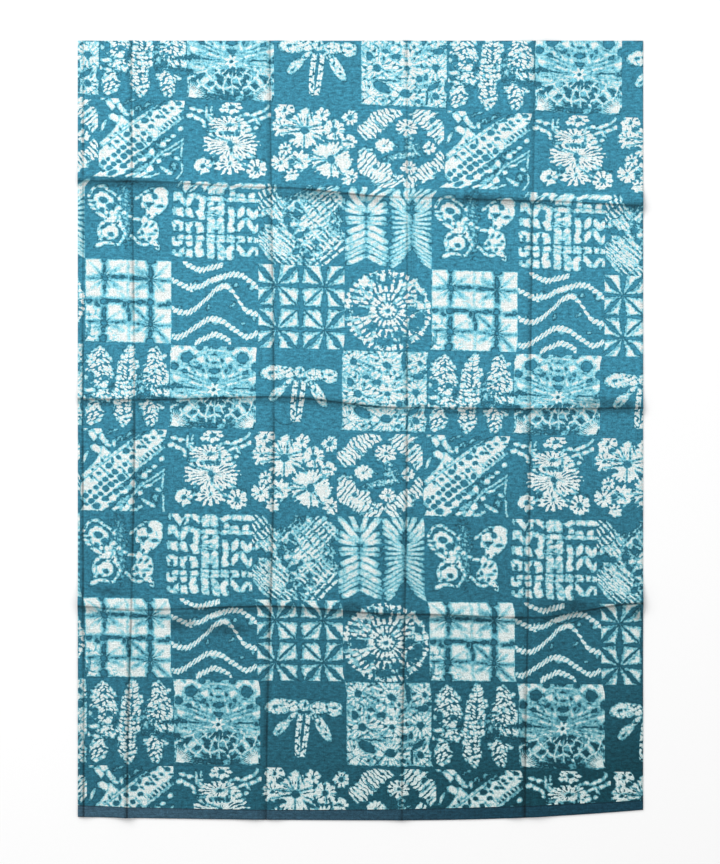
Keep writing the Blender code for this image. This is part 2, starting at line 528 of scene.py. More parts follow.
class ButterflyBlock(Block):
    """A butterfly of dashes: a ringed hole in each left wing, and dappled right wings."""

    wobble = 0.009
    ragged = 0.005
    bite = 0.6
    dabs = (
        (21.5, 73.5, 12, 9.8, -22), (18.5, 90.5, 4.5, 2, 0), (9.5, 86, 6, 1.8, 52),
        (5.5, 78.5, 2.6, 2.4, 20), (6.5, 72.5, 3.4, 1.4, -5), (7.5, 67, 3.6, 1.5, -22),
        (12, 60.5, 5.5, 2.2, -42), (19.5, 54.5, 6.2, 2.4, -28), (26.5, 51, 4.5, 2.8, -20),
        (26.5, 86.5, 5.5, 1.6, -30), (34, 81.5, 4, 1.5, -34), (39, 76.5, 3.4, 1.8, -44),
        (15, 65.5, 3, 1.8, -70), (24.5, 60, 2.6, 5, 8), (31, 57.5, 3, 4, -10), (36, 60, 2.4, 6, -14),
        (33, 52, 5, 3.5, 0), (40.5, 52, 1.6, 4.5, 18), (73, 77, 7, 6.4, 0), (87.5, 85, 8.5, 6.6, -20),
        (83, 64.5, 14.5, 6.6, 38), (68, 69, 3.2, 5, 0), (92.5, 76, 3.4, 7.5, 8), (76, 56, 4, 4.5, 20),
        (60, 77, 3, 1.7, 42), (65, 81.5, 2.6, 1.3, 36), (70, 85, 2.6, 1.4, 30), (75.5, 88.5, 3, 1.4, 24),
        (29, 33.5, 9.8, 8.6, 10), (16.5, 35, 2.4, 7, 0), (19.5, 43.5, 5.5, 2.4, 55),
        (26.5, 47.8, 5.5, 2.2, 14), (33, 45.5, 2.6, 5.5, -8), (17.5, 18, 6.2, 2.6, 28),
        (24.5, 20.5, 5.5, 2, 4), (32, 19.5, 4, 1.6, -6), (37.5, 18.5, 3, 1.3, 8), (41.5, 22, 3, 1.3, 52),
        (44.5, 27.5, 1.3, 3, -14), (19.5, 25.5, 3.4, 1.6, 40), (22.5, 29.5, 4.5, 1.7, 20),
        (40, 45, 3, 5.5, 16), (44, 38.5, 2.2, 4, 10), (46.5, 32, 1.4, 3, 6), (75, 37, 10.5, 13.5, 0),
        (69, 50, 4, 4.5, 20), (60.5, 50.5, 6.2, 2, 0), (65, 33, 4.5, 7, -10), (53, 30, 2.8, 1.6, -20),
        (57.5, 26.5, 3, 1.5, -46), (62, 21.5, 4.2, 2, -30), (69.5, 20, 4.5, 2, 0), (76.5, 23, 3.4, 3, -30),
        (82, 19.5, 3.4, 6.8, 28), (71, 62, 5, 4), (84, 76, 5, 5), (45, 58, 3, 3), (39, 64, 3, 2.4, 30),
        (52, 54, 3, 1.8),
    )
    holes = (
        (20.8, 73.5, 5.6, 4, -15), (14, 85, 5.8, 3, 34), (73.5, 70.8, 4.4, 2, 4), (86.5, 68, 5, 2.2, 4),
        (80.5, 80, 3.2, 4.2, 40), (66, 61, 5, 4, -40), (30, 30.8, 3.6, 2.6, -25), (21.5, 40.5, 5.5, 2.4, 34),
        (66.2, 34.5, 2.2, 3, 30), (77.5, 43.5, 3.6, 1.7, 42), (77, 32.5, 4.2, 1.3, 10),
        (66.5, 25, 3, 2.2, 30), (74, 26.2, 2.2, 2.4, 0), (82, 37.5, 2, 1.6, 0), (30, 80, 5, 2, -36),
        (10.5, 70, 2.6, 2.2, 0), (20.5, 61, 2.4, 3, 20), (29, 66, 4.5, 4.5, 0), (23, 25.5, 3.4, 1.6, 24),
        (59, 42, 5, 7, 0), (70, 44, 1.6, 3, -30),
    )

    solids = (
        (21, 72, 11, 9.6, -22), (84, 74, 13, 16, -30), (29, 33, 10.4, 9.4), (75, 36, 11, 14), (36, 55, 7, 6),
    )

    def draw(self, stencil: Stencil) -> Field:
        """Draw the wings and the speckled body between them."""
        place = stencil.place
        body = stencil.oval(0.445, 0.680, 0.095, 0.240, 0, 0.10)
        body = body.larger(stencil.oval(0.480, 0.400, 0.050, 0.180, 0, 0.08))
        speckle = place.grain(30.0, 1.0).ramp(0.44, 0.58).smaller(body) * 0.50
        rows = (place.x - 0.470).size().folded(0.14).ramp(0.020, 0.008)
        beads = place.y.folded(0.052).ramp(0.020, 0.010).smaller(rows)
        beads = beads.smaller((place.x - 0.505).within(0.050, 0.005))
        beads = beads.smaller((place.y - 0.56).within(0.26, 0.01))
        solid = stencil.dabs(self.solids, 0.05).larger(place.grain(21.0, 1.0).ramp(0.72, 0.56))
        wings = stencil.dabs(self.dabs, swell=0.2).without(stencil.dabs(self.holes, 0.030)).smaller(solid)
        return wings.larger(speckle).larger(beads * 0.48)


class ArrowGridBlock(ChartedBlock):
    """Rows of white patches between upright lines, cut into arrow heads and hooks."""

    wobble = 0.008
    ragged = 0.006
    swell = 0.15
    strokes = (
        (4.5, 98, 1.4, 4.2), (13, 95, 8.5, 3.4, -60), (23.5, 94, 8.8, 3.8, 52), (35.5, 95.5, 8.2, 3.3, -48),
        (46, 95, 6.5, 3.2, 40), (57, 95.5, 6, 3, -38), (51, 92, 8, 3.2), (70, 95.5, 6, 3.2, 25),
        (83, 96.5, 6, 3.2), (95, 96, 7.5, 3.4), (4.6, 80, 2.4, 5), (8, 83.5, 4.6, 2.8),
        (12.6, 76.5, 7, 3, -52), (20, 75.5, 7, 3.2, 58), (25, 83, 5.5, 2.6, 22), (31, 81, 4.6, 2.6, -16),
        (35.5, 75, 3.6, 7.5, -8), (46, 88, 4, 3.2), (56.5, 88, 4.6, 3.4), (51, 79.2, 9, 3.4),
        (70, 86.5, 3.2, 3.4), (80, 84.5, 4.4, 2.6, -18), (92.5, 85, 3.6, 3.4), (70, 79, 5.6, 2.6, 8),
        (81, 79, 7, 2.4), (94.5, 78.5, 6.5, 2.4), (3, 63, 1.6, 3.8, 10), (10.5, 60, 5, 3.8, -14),
        (9.5, 64, 4.2, 2.8), (20.5, 61.5, 3.8, 5.6, 18), (23, 57.2, 5.4, 2.2, -8), (33, 60, 4.6, 5.4, 22),
        (35, 55, 4, 2.2), (34.5, 66.5, 3.4, 3.2), (45.5, 73, 3.4, 3), (46.5, 67.5, 4.2, 3.2),
        (56, 66.5, 5, 4.8, 10), (45.5, 61, 5.4, 2.6, 8), (56, 61, 6, 2.6, 8), (57, 73, 4, 2.4),
        (68.6, 63, 3.4, 6.8, 8), (79.5, 63, 8, 4.2, 52), (91, 62.5, 7.6, 3.6, -54), (98, 62.5, 4.6, 3.2, 52),
        (3, 44, 2, 5.4, 12), (6, 48.8, 4.4, 2.6), (11.4, 44, 2.8, 6, -8), (18.6, 42, 2.6, 6, 18),
        (23, 46.8, 4.2, 2.6, 28), (31, 46.5, 4.6, 3.2, -16), (33, 40.5, 4, 4.6), (45.5, 53, 3.4, 4.8, 34),
        (56, 52.5, 3.6, 4.6, -30), (51, 45.5, 9.5, 5.4), (45, 39.5, 4, 3.2), (57, 39, 3.6, 3.2),
        (68.5, 50, 3.4, 6.6, -14), (68.5, 42, 4.2, 4.2), (80, 47.5, 8.5, 3.2, 56), (90.5, 48, 8.6, 3.2, -58),
        (98, 44, 6.2, 2.6, 56), (1.8, 27.5, 1.8, 3), (11, 30.5, 4.2, 2.6), (20, 30, 4, 3),
        (32.6, 30, 4.6, 3), (45, 33, 4.6, 2, -5), (45, 28, 5, 2.4, -4), (56.5, 32, 5, 1.8),
        (56.5, 27.5, 5.6, 2.2), (68, 32, 4.4, 2.2), (67.5, 28, 5.2, 2.2), (80, 31.8, 4.4, 1.8),
        (80, 27.4, 4.4, 1.8), (83, 29.5, 1.8, 3.2), (90, 30, 2.8, 3.6), (98.5, 29, 3.4, 3.2),
        (5, 22.5, 4.4, 3.4), (9.5, 24, 3.4, 2.6, -10), (21, 22.5, 3.6, 3.4, 20), (31, 20, 3.8, 6.2, -10),
        (32, 11.5, 4.8, 5.4), (20.5, 10.5, 4.4, 5), (14, 13, 4, 3.6, 30), (7, 9, 5.4, 2.2),
        (2.6, 11, 1.8, 3), (45.5, 20, 3.8, 5.4, 18), (45, 10.5, 4.4, 5.4), (56, 18.5, 6, 3.8, -50),
        (68, 17.5, 6.4, 3.8, 58), (62, 11.5, 8.5, 4.8), (57, 6.5, 4.6, 2.6), (67.5, 6.5, 4.4, 2.6),
        (79, 17, 7.4, 3.4, -52), (83, 11, 3, 2.4), (91, 14.5, 6, 2.8, 54), (95.5, 18, 3.2, 2.4),
        (99, 14, 2.4, 4.8, -8),
    )
    holes = (
        (62, 90, 1.8, 9), (62, 55, 1.7, 12), (28.6, 90, 2, 6), (85.6, 62, 0.9, 8), (51, 57, 3.4, 1, 30),
        (6.5, 41, 2.6, 3), (25.5, 41, 1.8, 3), (5.6, 27, 2.2, 1.3), (62, 4.4, 1.8, 1.8),
        (50, 71, 5, 0.9, 15), (40.2, 68, 1.2, 42), (38.6, 20, 1.4, 22), (62.2, 66, 1.2, 40),
        (73.6, 22, 1.2, 22), (74.5, 56, 1.1, 20), (85.6, 30, 1, 30), (51, 22, 1.1, 20), (15, 48, 1.1, 22),
        (15.4, 17, 1, 12), (26.4, 60, 1.2, 20), (26, 22, 1, 20), (51, 85, 7, 0.8), (20, 35, 22, 0.9),
        (80, 35.4, 16, 0.9), (80, 24, 18, 1), (90, 89.4, 18, 1.4), (28, 56, 2, 3), (20, 90, 6, 1.6, 58),
        (33, 90, 5, 1.4, -50), (51, 60, 8, 0.9, -14), (8, 54, 9, 1), (8, 70, 7, 1.2, -30),
    )

    def draw(self, stencil: Stencil) -> Field:
        """Draw the patches, paler in the middle and here and there."""
        place = stencil.place
        smudge = place.grain(6.0, 1.0).ramp(0.40, 0.60)
        middle = (place.x - 0.51).size().ramp(0.10, 0.14)
        return super().draw(stencil).smaller(smudge.larger(middle).blend(0.68, 1.0))


class CrossWeaveBlock(ChartedBlock):
    """A turned square of short strokes: each quarter's strokes cross the quarters beside it."""

    wobble = 0.012
    ragged = 0.008
    # Each patch of strokes: its centre, half sizes and turn, its strokes' pitch, and its white share.
    patches = (
        (0.700, 0.720, 0.290, 0.150, 45.0, 0.054, 0.52), (0.690, 0.560, 0.210, 0.140, 45.0, 0.058, 0.70),
        (0.100, 0.780, 0.220, 0.150, -52.0, 0.054, 0.50), (0.215, 0.610, 0.100, 0.070, -52.0, 0.060, 0.76),
        (0.620, 0.300, 0.230, 0.120, -45.0, 0.056, 0.54), (0.760, 0.400, 0.190, 0.100, -45.0, 0.062, 0.48),
        (0.240, 0.330, 0.150, 0.200, -45.0, 0.056, 0.44), (0.330, 0.180, 0.180, 0.120, -42.0, 0.054, 0.52),
        (0.810, 0.180, 0.240, 0.110, 45.0, 0.072, 0.44), (0.180, 0.200, 0.230, 0.120, -45.0, 0.058, 0.42),
    )
    strokes = (
        (45, 79.5, 2.2, 6, -45), (52, 73.5, 9, 2.2, -45), (37, 72.5, 10, 2.4, 45), (34, 39, 9, 2.6, -45),
        (48, 33, 12, 2.4, -45), (94, 86, 10, 1.7, -45), (92, 80, 10, 1.6, -45), (93.5, 28, 8, 1.5, 45),
        (20, 40, 11, 2.2, -42), (29, 56, 5, 2, 45), (62, 90, 9, 1.7, 42), (58, 86, 9, 1.5, 42),
        (79, 93, 8.5, 2.2, 40), (16, 20, 12, 1.5, -45), (10, 12, 10, 1.4, -50), (66, 95, 2, 4.4, 20),
    )
    holes = (
        (44, 64, 6.5, 4.5), (34, 56, 6.5, 5, -45), (38, 43, 5, 4.2, -35), (47, 37, 6, 4.5, 10),
        (57, 43.5, 3.5, 3, 30), (46, 74, 5, 3.6, -45), (66, 29, 4, 3.4), (44, 17, 5, 4.4, 20),
        (68, 19, 4.5, 2.4, -20), (19, 52, 5.5, 4.5), (10, 55, 6, 6), (85, 60, 3.6, 2.6),
        (70, 47, 3.4, 2, 10), (34, 66, 4, 2.6, -45), (81, 69, 4, 1.4, 45), (47, 27, 3.4, 2.2, -30),
        (56, 12, 5, 4), (35, 97, 16, 12), (0, 50, 8, 10), (3, 3, 12, 9, -45), (99, 50, 5, 8),
    )

    def draw(self, stencil: Stencil) -> Field:
        """Draw a pale lattice, the patches of strokes over it, the heavier strokes and the dark ring."""
        place = stencil.place
        cloud = place.grain(11.0, 2.0, 0.65)
        turned = place.around(0.47, 0.47, 45)
        cells = turned.x.folded(0.052).ramp(0.021, 0.011).larger(turned.y.folded(0.052).ramp(0.021, 0.011))
        region = (turned.x.size().larger(turned.y.size()) + cloud.scaled(0.16, -0.08)).ramp(0.47, 0.43)
        tone = cells.smaller(region) * cloud.ramp(0.36, 0.56).scaled(0.46, 0.12)
        for x, y, long, wide, turn, pitch, share in self.patches:
            local = place.around(x, y, turn)
            half = pitch * (share + 0.04) / 2
            strokes = (local.y + cloud * 0.035).folded(pitch).ramp(half + 0.009, half - 0.011)
            ends = (local.x.size() + cloud.scaled(0.20, -0.10)).ramp(long + 0.02, long - 0.02)
            sides = local.y.size().ramp(wide + 0.015, wide - 0.015)
            breaks = (local.x + cloud * 0.09).folded(0.115).ramp(0.000, 0.020).larger(share - 0.35)
            tone = tone.larger(strokes.smaller(ends).smaller(sides).smaller(breaks))
        veil = stencil.oval(0.66, 0.60, 0.27, 0.20, 20, 0.10).smaller(cloud.ramp(0.42, 0.58)) * 0.50
        tone = tone.larger(veil).larger(stencil.strokes(self.strokes))
        tone = tone.without(stencil.dabs(self.holes, 0.04))
        return tone.larger(stencil.dabs(((41, 51, 5, 3, 12), (53, 51, 5.6, 4.2, -6))))


class FernBlock(ChartedBlock):
    """Two upright ferns: rays that fan out above a node, and slanted strokes below it."""

    wobble = 0.010
    bite = 0.6
    # One side of each fern, as seen from its spine; the other side mirrors it.
    broad = (
        (6, 92, 10, 2.8, 69), (12, 84, 18.5, 3.4, 52), (13.8, 74.5, 10, 3, 36), (14.5, 69.2, 10, 2.6, 12),
        (12.5, 61, 9.6, 2, 1), (12, 55.6, 9.2, 2, -5), (11, 47.5, 10.6, 3.2, -27), (12, 37.5, 13, 3.5, -29),
        (12.6, 28, 13.6, 3.1, -29), (12.6, 20.8, 13.2, 1.5, -28), (12.6, 15.8, 12.8, 1.6, -28),
        (11.4, 9, 10.6, 2.8, -25),
    )
    slim = (
        (3, 94, 7, 1.7, 74), (8.6, 92, 11, 2.6, 62), (14, 86.5, 14, 2.4, 52), (17, 80.5, 12.6, 2.2, 46),
        (13.6, 73.5, 13, 1.8, 38), (12, 67, 10.6, 1.8, 22), (11.8, 61.8, 10, 1.7, 9),
        (11.6, 56.6, 9.8, 1.6, 0), (11.4, 51.4, 9.8, 1.5, -8), (11, 46, 9.8, 1.8, -18),
        (11.4, 39.6, 11, 2.2, -27), (12, 32.6, 12, 2, -32), (12.4, 26.4, 12.8, 1.8, -34),
        (13, 20.8, 12.8, 1.5, -35), (14.4, 15, 11.4, 1.5, -36), (16, 9.6, 8.8, 1.4, -37),
        (18, 4.6, 6, 1.3, -37), (20, 90, 8, 3, 56), (20, 78, 6, 2, 40),
    )

    nodes = ((77, 82, 4, 3), (51, 58, 2.4, 6), (24, 66, 3, 2))

    def draw(self, stencil: Stencil) -> Field:
        """Draw both ferns beside their dark spines, with the knots on them."""
        place = stencil.place
        left = Stencil(place.mirrored(0.245)).strokes(self.broad, swell=0.35)
        left = left.smaller(place.x.ramp(0.515, 0.495))
        right = Stencil(place.mirrored(0.772)).strokes(self.slim, swell=0.1)
        right = right.smaller(place.x.ramp(0.505, 0.525))
        pale = place.grain(9.0, 1.0).ramp(0.30, 0.44).scaled(0.34, 0.66)
        return left.larger(right).without(stencil.dabs(self.nodes, 0.05)).smaller(pale)


class WindowBlock(ChartedBlock):
    """Soft white panes between folds, with faint rays where the folds cross."""

    wobble = 0.010
    ragged = 0.006
    bite = 0.5
    hole_edge = 0.05
    # Where the cloth was folded: the bars between the panes, and the blots where they meet.
    holes = (
        (22.5, 100, 4.4, 5.5), (22.8, 88, 2.4, 10), (22.8, 78, 5, 5), (22.5, 66, 2.6, 10),
        (22, 50, 6.4, 4.6), (14, 47, 6, 3, -35), (22, 36, 3.8, 14), (22, 25, 5.5, 5), (21, 6, 5.6, 6),
        (21.5, 17, 3.4, 6), (76.5, 100, 6, 7), (76, 85, 3.8, 12), (76, 70, 3.4, 14), (76, 50, 5.4, 5),
        (76, 37, 3.6, 14), (75.5, 24, 4, 4), (76, 3, 6, 6.5), (75.5, 13, 3.4, 9), (10, 77.5, 12, 1.2, 3),
        (38, 79, 18, 3), (62, 78, 16, 3.2, -4), (90, 76.5, 14, 1.5, -2), (33, 51, 20, 3, -2),
        (5, 50, 5, 3.6), (53, 50, 18, 2.6), (64, 50, 9, 3.6), (90, 47, 8, 2.4, -4), (97, 49, 4, 4),
        (8, 26, 13, 1.4), (38, 26, 19, 1.7), (62, 24.5, 15, 1.5, -3), (88, 23, 13, 1.3), (50, 43, 2.6, 9),
        (51.5, 32, 2.8, 8), (64, 36, 18, 1.5, -45), (88, 12, 17, 1.3, -45), (46, 46, 3, 4), (19.5, 81, 3, 3),
    )
    # The rays, which only bleed.
    rays = (
        (15, 86, 8, 1.8, -42), (14, 70, 9, 1.7, 42), (33, 86, 10, 3, 32), (34, 70, 11, 3.6, -34),
        (49.8, 87, 1.6, 9), (50, 69, 1.4, 8), (65, 85, 10, 3.8, -38), (65, 69, 10, 3.2, 38),
        (86, 86, 9, 1.4, 42), (86, 69, 7, 2.2, -36), (33, 32, 9, 1.3, 38), (36, 20, 10, 3.2, -24),
        (51, 15, 1.6, 10), (84, 30, 8, 2, 36), (61, 17, 8, 3.4, 32), (64, 27, 6, 3.4, -20),
        (45, 34, 1.6, 6, 10), (84, 86, 4, 1), (14, 18, 6, 2.2, 40), (60, 90, 1.6, 9), (60, 66, 1.8, 8),
    )

    # Where short rays fan out from a crossing, and how far.
    crossings = ((0.225, 0.780, 0.19), (0.765, 0.775, 0.20), (0.220, 0.255, 0.15), (0.765, 0.240, 0.19))

    def draw(self, stencil: Stencil) -> Field:
        """Draw the panes as what the folds leave, then the bleeding rays and the mottled near corner."""
        place = stencil.place
        panes = stencil.bar(0.505, 0.512, 0.495, 0.485).without(stencil.dabs(self.holes, 0.07, swell=0.5))
        rays = stencil.dabs(self.rays, 0.05, swell=-0.4).inverse().scaled(0.60, 0.40)
        for x, y, reach in self.crossings:
            local = place.around(x, y)
            fan = local.turns().wave(11.0).ramp(-0.35, 0.6).smaller(local.distance().ramp(reach, 0.04))
            rays = rays.smaller(fan.inverse().scaled(0.84, 0.16))
        corner = (place.x + place.y * 0.7).ramp(0.34, 0.50)
        mottle = place.grain(14.0, 2.0, 0.7).ramp(0.38, 0.52).larger(corner).scaled(0.62, 0.38)
        return panes.smaller(rays).smaller(mottle)


class WaveBlock(Block):
    """Five wandering lines of short slanted strokes."""

    pitch = 0.050
    half_width = 0.026
    # Each line: where it starts and ends, and its stations from left to right.
    lines = (
        (0.13, 0.60, ((0.13, 1.00), (0.20, 0.955), (0.32, 0.905), (0.45, 0.930), (0.60, 0.985))),
        (0.00, 0.25, ((0.00, 0.780), (0.08, 0.745), (0.16, 0.700), (0.25, 0.665))),
        (0.21, 1.02, ((0.21, 0.710), (0.30, 0.700), (0.45, 0.775), (0.60, 0.835), (0.78, 0.860),
                      (0.90, 0.795), (1.0, 0.720))),
        (0.00, 1.02, ((0.0, 0.440), (0.13, 0.390), (0.22, 0.405), (0.40, 0.555), (0.57, 0.705),
                      (0.66, 0.700), (0.78, 0.550), (0.88, 0.430), (1.0, 0.400))),
        (0.00, 1.02, ((0.0, 0.105), (0.11, 0.110), (0.28, 0.225), (0.45, 0.325), (0.57, 0.310),
                      (0.72, 0.210), (0.88, 0.125), (1.0, 0.180))),
        (0.28, 0.70, ((0.28, 0.030), (0.40, 0.100), (0.50, 0.140), (0.60, 0.110), (0.70, 0.050))),
    )
    # Where two lines run together, and the smudges beside them.
    heavy = ((52, 80, 13, 3.6, 22), (62, 72.5, 7.5, 3.4, -12), (50, 30, 7, 3.4, -4))
    smudges = (
        (26.5, 74, 4, 2.2, 30), (75, 73.5, 3, 2.4, 20), (93, 71.5, 4.5, 3.5, -30), (71.5, 50, 3.4, 2, 40),
        (43, 46.5, 1.8, 3.2, -20), (96.5, 34.5, 2.2, 3.4), (82.5, 27.5, 2.2, 1.4, 20), (10, 45, 2, 1.2),
    )

    def draw(self, stencil: Stencil) -> Field:
        """Draw the lines and a few pale smudges beside them."""
        tone = largest([self.line(stencil.place, *line) for line in self.lines])
        heavy = stencil.dabs(self.heavy)
        smudges = stencil.dabs(self.smudges)
        return tone.larger(heavy.smaller(tone.scaled(1.0, 0.35))).larger(heavy * 0.72).larger(smudges * 0.55)

    def line(self, place: Place, start: float, end: float, stations: Sequence[tuple[float, float]]) -> Field:
        """One line of slanted strokes.

        Args:
            place: the block's place.
            start: the line's left end.
            end: its right end.
            stations: the line's course.

        Returns:
            The tone.
        """
        offset = place.y - place.x.along(stations)
        teeth = (place.x - offset * 0.7).folded(self.pitch)
        band = (offset.size() + teeth * 0.75).ramp(self.half_width + 0.028, self.half_width + 0.004)
        ends = place.x.ramp(start - 0.01, start + 0.012).smaller(place.x.ramp(end + 0.01, end - 0.012))
        return band.smaller(teeth.ramp(0.0245, 0.0130).scaled(0.60, 0.40)).smaller(ends)


class StarGridBlock(Block):
    """Sixteen squares cut into triangles by folds that meet in four stars."""

    wobble = 0.006
    ragged = 0.004
    middle = (0.493, 0.490)
    star_offset = (0.275, 0.262)

    def draw(self, stencil: Stencil) -> Field:
        """Draw the triangles, each with a pale bleed along its left or lower side."""
        crisp = self.folds(stencil.place, 0.0)
        bleed = self.folds(stencil.place, 0.026)
        rim = stencil.bar(0.505, 0.500, 0.500, 0.500, edge=0.022)
        return crisp.smaller(bleed.scaled(0.52, 0.50)).smaller(rim)

    def folds(self, place: Place, shift: float) -> Field:
        """The white that the folds leave.

        Args:
            place: the block's place.
            shift: how far the folds are drawn to the right and down.

        Returns:
            The tone.
        """
        from_x = (place.x - (self.middle[0] + shift)).size()
        from_y = (place.y - (self.middle[1] - shift)).size()
        star_x = (from_x - self.star_offset[0]).size()
        star_y = (from_y - self.star_offset[1]).size()
        tone = star_x.scaled(1.0, -0.006) - star_y * 0.17
        tone = tone.smaller(star_y.scaled(1.0, -0.012) - star_x * 0.10)
        tone = tone.smaller(from_x.scaled(1.0, -0.014) - star_y * 0.12)
        tone = tone.smaller(from_y.scaled(1.0, -0.014) - star_x * 0.07)
        slant = (star_x - star_y).size() * 0.72
        spread = star_x.folded(0.28) * 0.24
        outer = from_x.larger(from_y).ramp(0.26, 0.28)
        tone = tone.smaller(slant - spread * outer.scaled(0.62, 0.38) - 0.002)
        return tone.ramp(-0.014, 0.026)


class WheelBlock(ChartedBlock):
    """A tied wheel: a broken rim, spokes that stop and start, a ringed hub and dark hollows."""

    wobble = 0.009
    # Each ring of short spokes: its inner and outer radius, how many there are, and how bare it is.
    rings = (
        (0.425, 0.492, 41, -0.30), (0.345, 0.410, 37, 0.10), (0.232, 0.330, 27, -0.10),
        (0.122, 0.212, 21, -0.25), (0.040, 0.096, 11, -0.75),
    )
    strokes = (
        (23.5, 82.5, 5.5, 7, -30), (30, 77, 2.4, 5.4, 20), (14, 78, 5, 2.4, -38), (13, 71, 4.6, 2.2, -15),
        (17, 62, 8, 2.2, -8), (29, 53, 6, 1.6, 5), (22, 70, 5.4, 2, -40), (29, 66, 7.8, 2.3, -42),
        (44, 88, 3.6, 5.4), (45.5, 63, 2.6, 5.2), (65, 80, 4, 3.4, 50), (66, 70, 5, 2, 55),
        (72, 78, 7.4, 2.2, 50), (62, 62, 5.8, 2.6, 45), (80, 84, 5.2, 2.2, 35), (84, 78, 5.4, 2.5, -50),
        (78, 79, 6, 2, 35), (89, 73, 3.4, 3.4, 30), (80, 66.5, 4.4, 2.2, -30), (79, 60, 4.8, 2.4, 20),
        (88, 55, 4.8, 4.8), (96, 56, 3.8, 4.4), (80, 16.5, 5.4, 2.6, 42), (23, 12, 4.4, 2.2, -30),
        (30, 13, 3.8, 3.2, 20), (33, 18, 5.2, 2, 60), (7, 37.5, 4.8, 2.5), (13, 36, 5.2, 2.3),
        (11, 26, 4.6, 2.6, -50), (17, 29, 4.8, 2.2, 40), (15, 22, 5.4, 1.8, -45), (30, 41, 6.2, 2.7, 28),
    )
    hollows = (
        (46, 84, 9, 6), (19, 47, 10, 5.4), (88, 65, 5.4, 4.6), (80, 50, 8, 4), (47, 10, 13, 4.6),
        (80, 33, 6, 9, -30), (62, 20, 7, 4), (31, 27, 5, 5), (88, 38, 5, 11, -8), (70, 13, 8, 5),
        (34, 88, 3, 5, -20), (14, 66, 4, 1.4), (65, 70, 2.4, 8, -40), (3, 43, 4, 6),
    )

    def draw(self, stencil: Stencil) -> Field:
        """Draw the rings of spokes with their hollows, the heavier strokes and the ring round the hub."""
        local = stencil.place.around(0.50, 0.485, 0.0, 1.03, 1.0)
        cloud = stencil.place.grain(13.0, 2.0, 0.6) - 0.5
        reach = local.distance() + cloud * 0.10
        around = local.turns()
        rings = []
        for inner, outer, count, bare in self.rings:
            spokes = (around.wave(count) + cloud * 6.0).ramp(bare - 0.20, bare + 0.30)
            ends = reach.ramp(inner - 0.010, inner + 0.012).smaller(reach.ramp(outer + 0.010, outer - 0.012))
            rings.append(spokes.smaller(ends))
        tone = largest(rings).without(stencil.dabs(self.hollows, 0.04))
        tone = tone.larger(stencil.strokes(self.strokes, swell=-0.4))
        hub = stencil.ring(0.50, 0.48, 0.048, 0.046, 0.016)
        return tone.larger(hub).without(stencil.dabs(((50, 48, 2.4, 2.2),)))


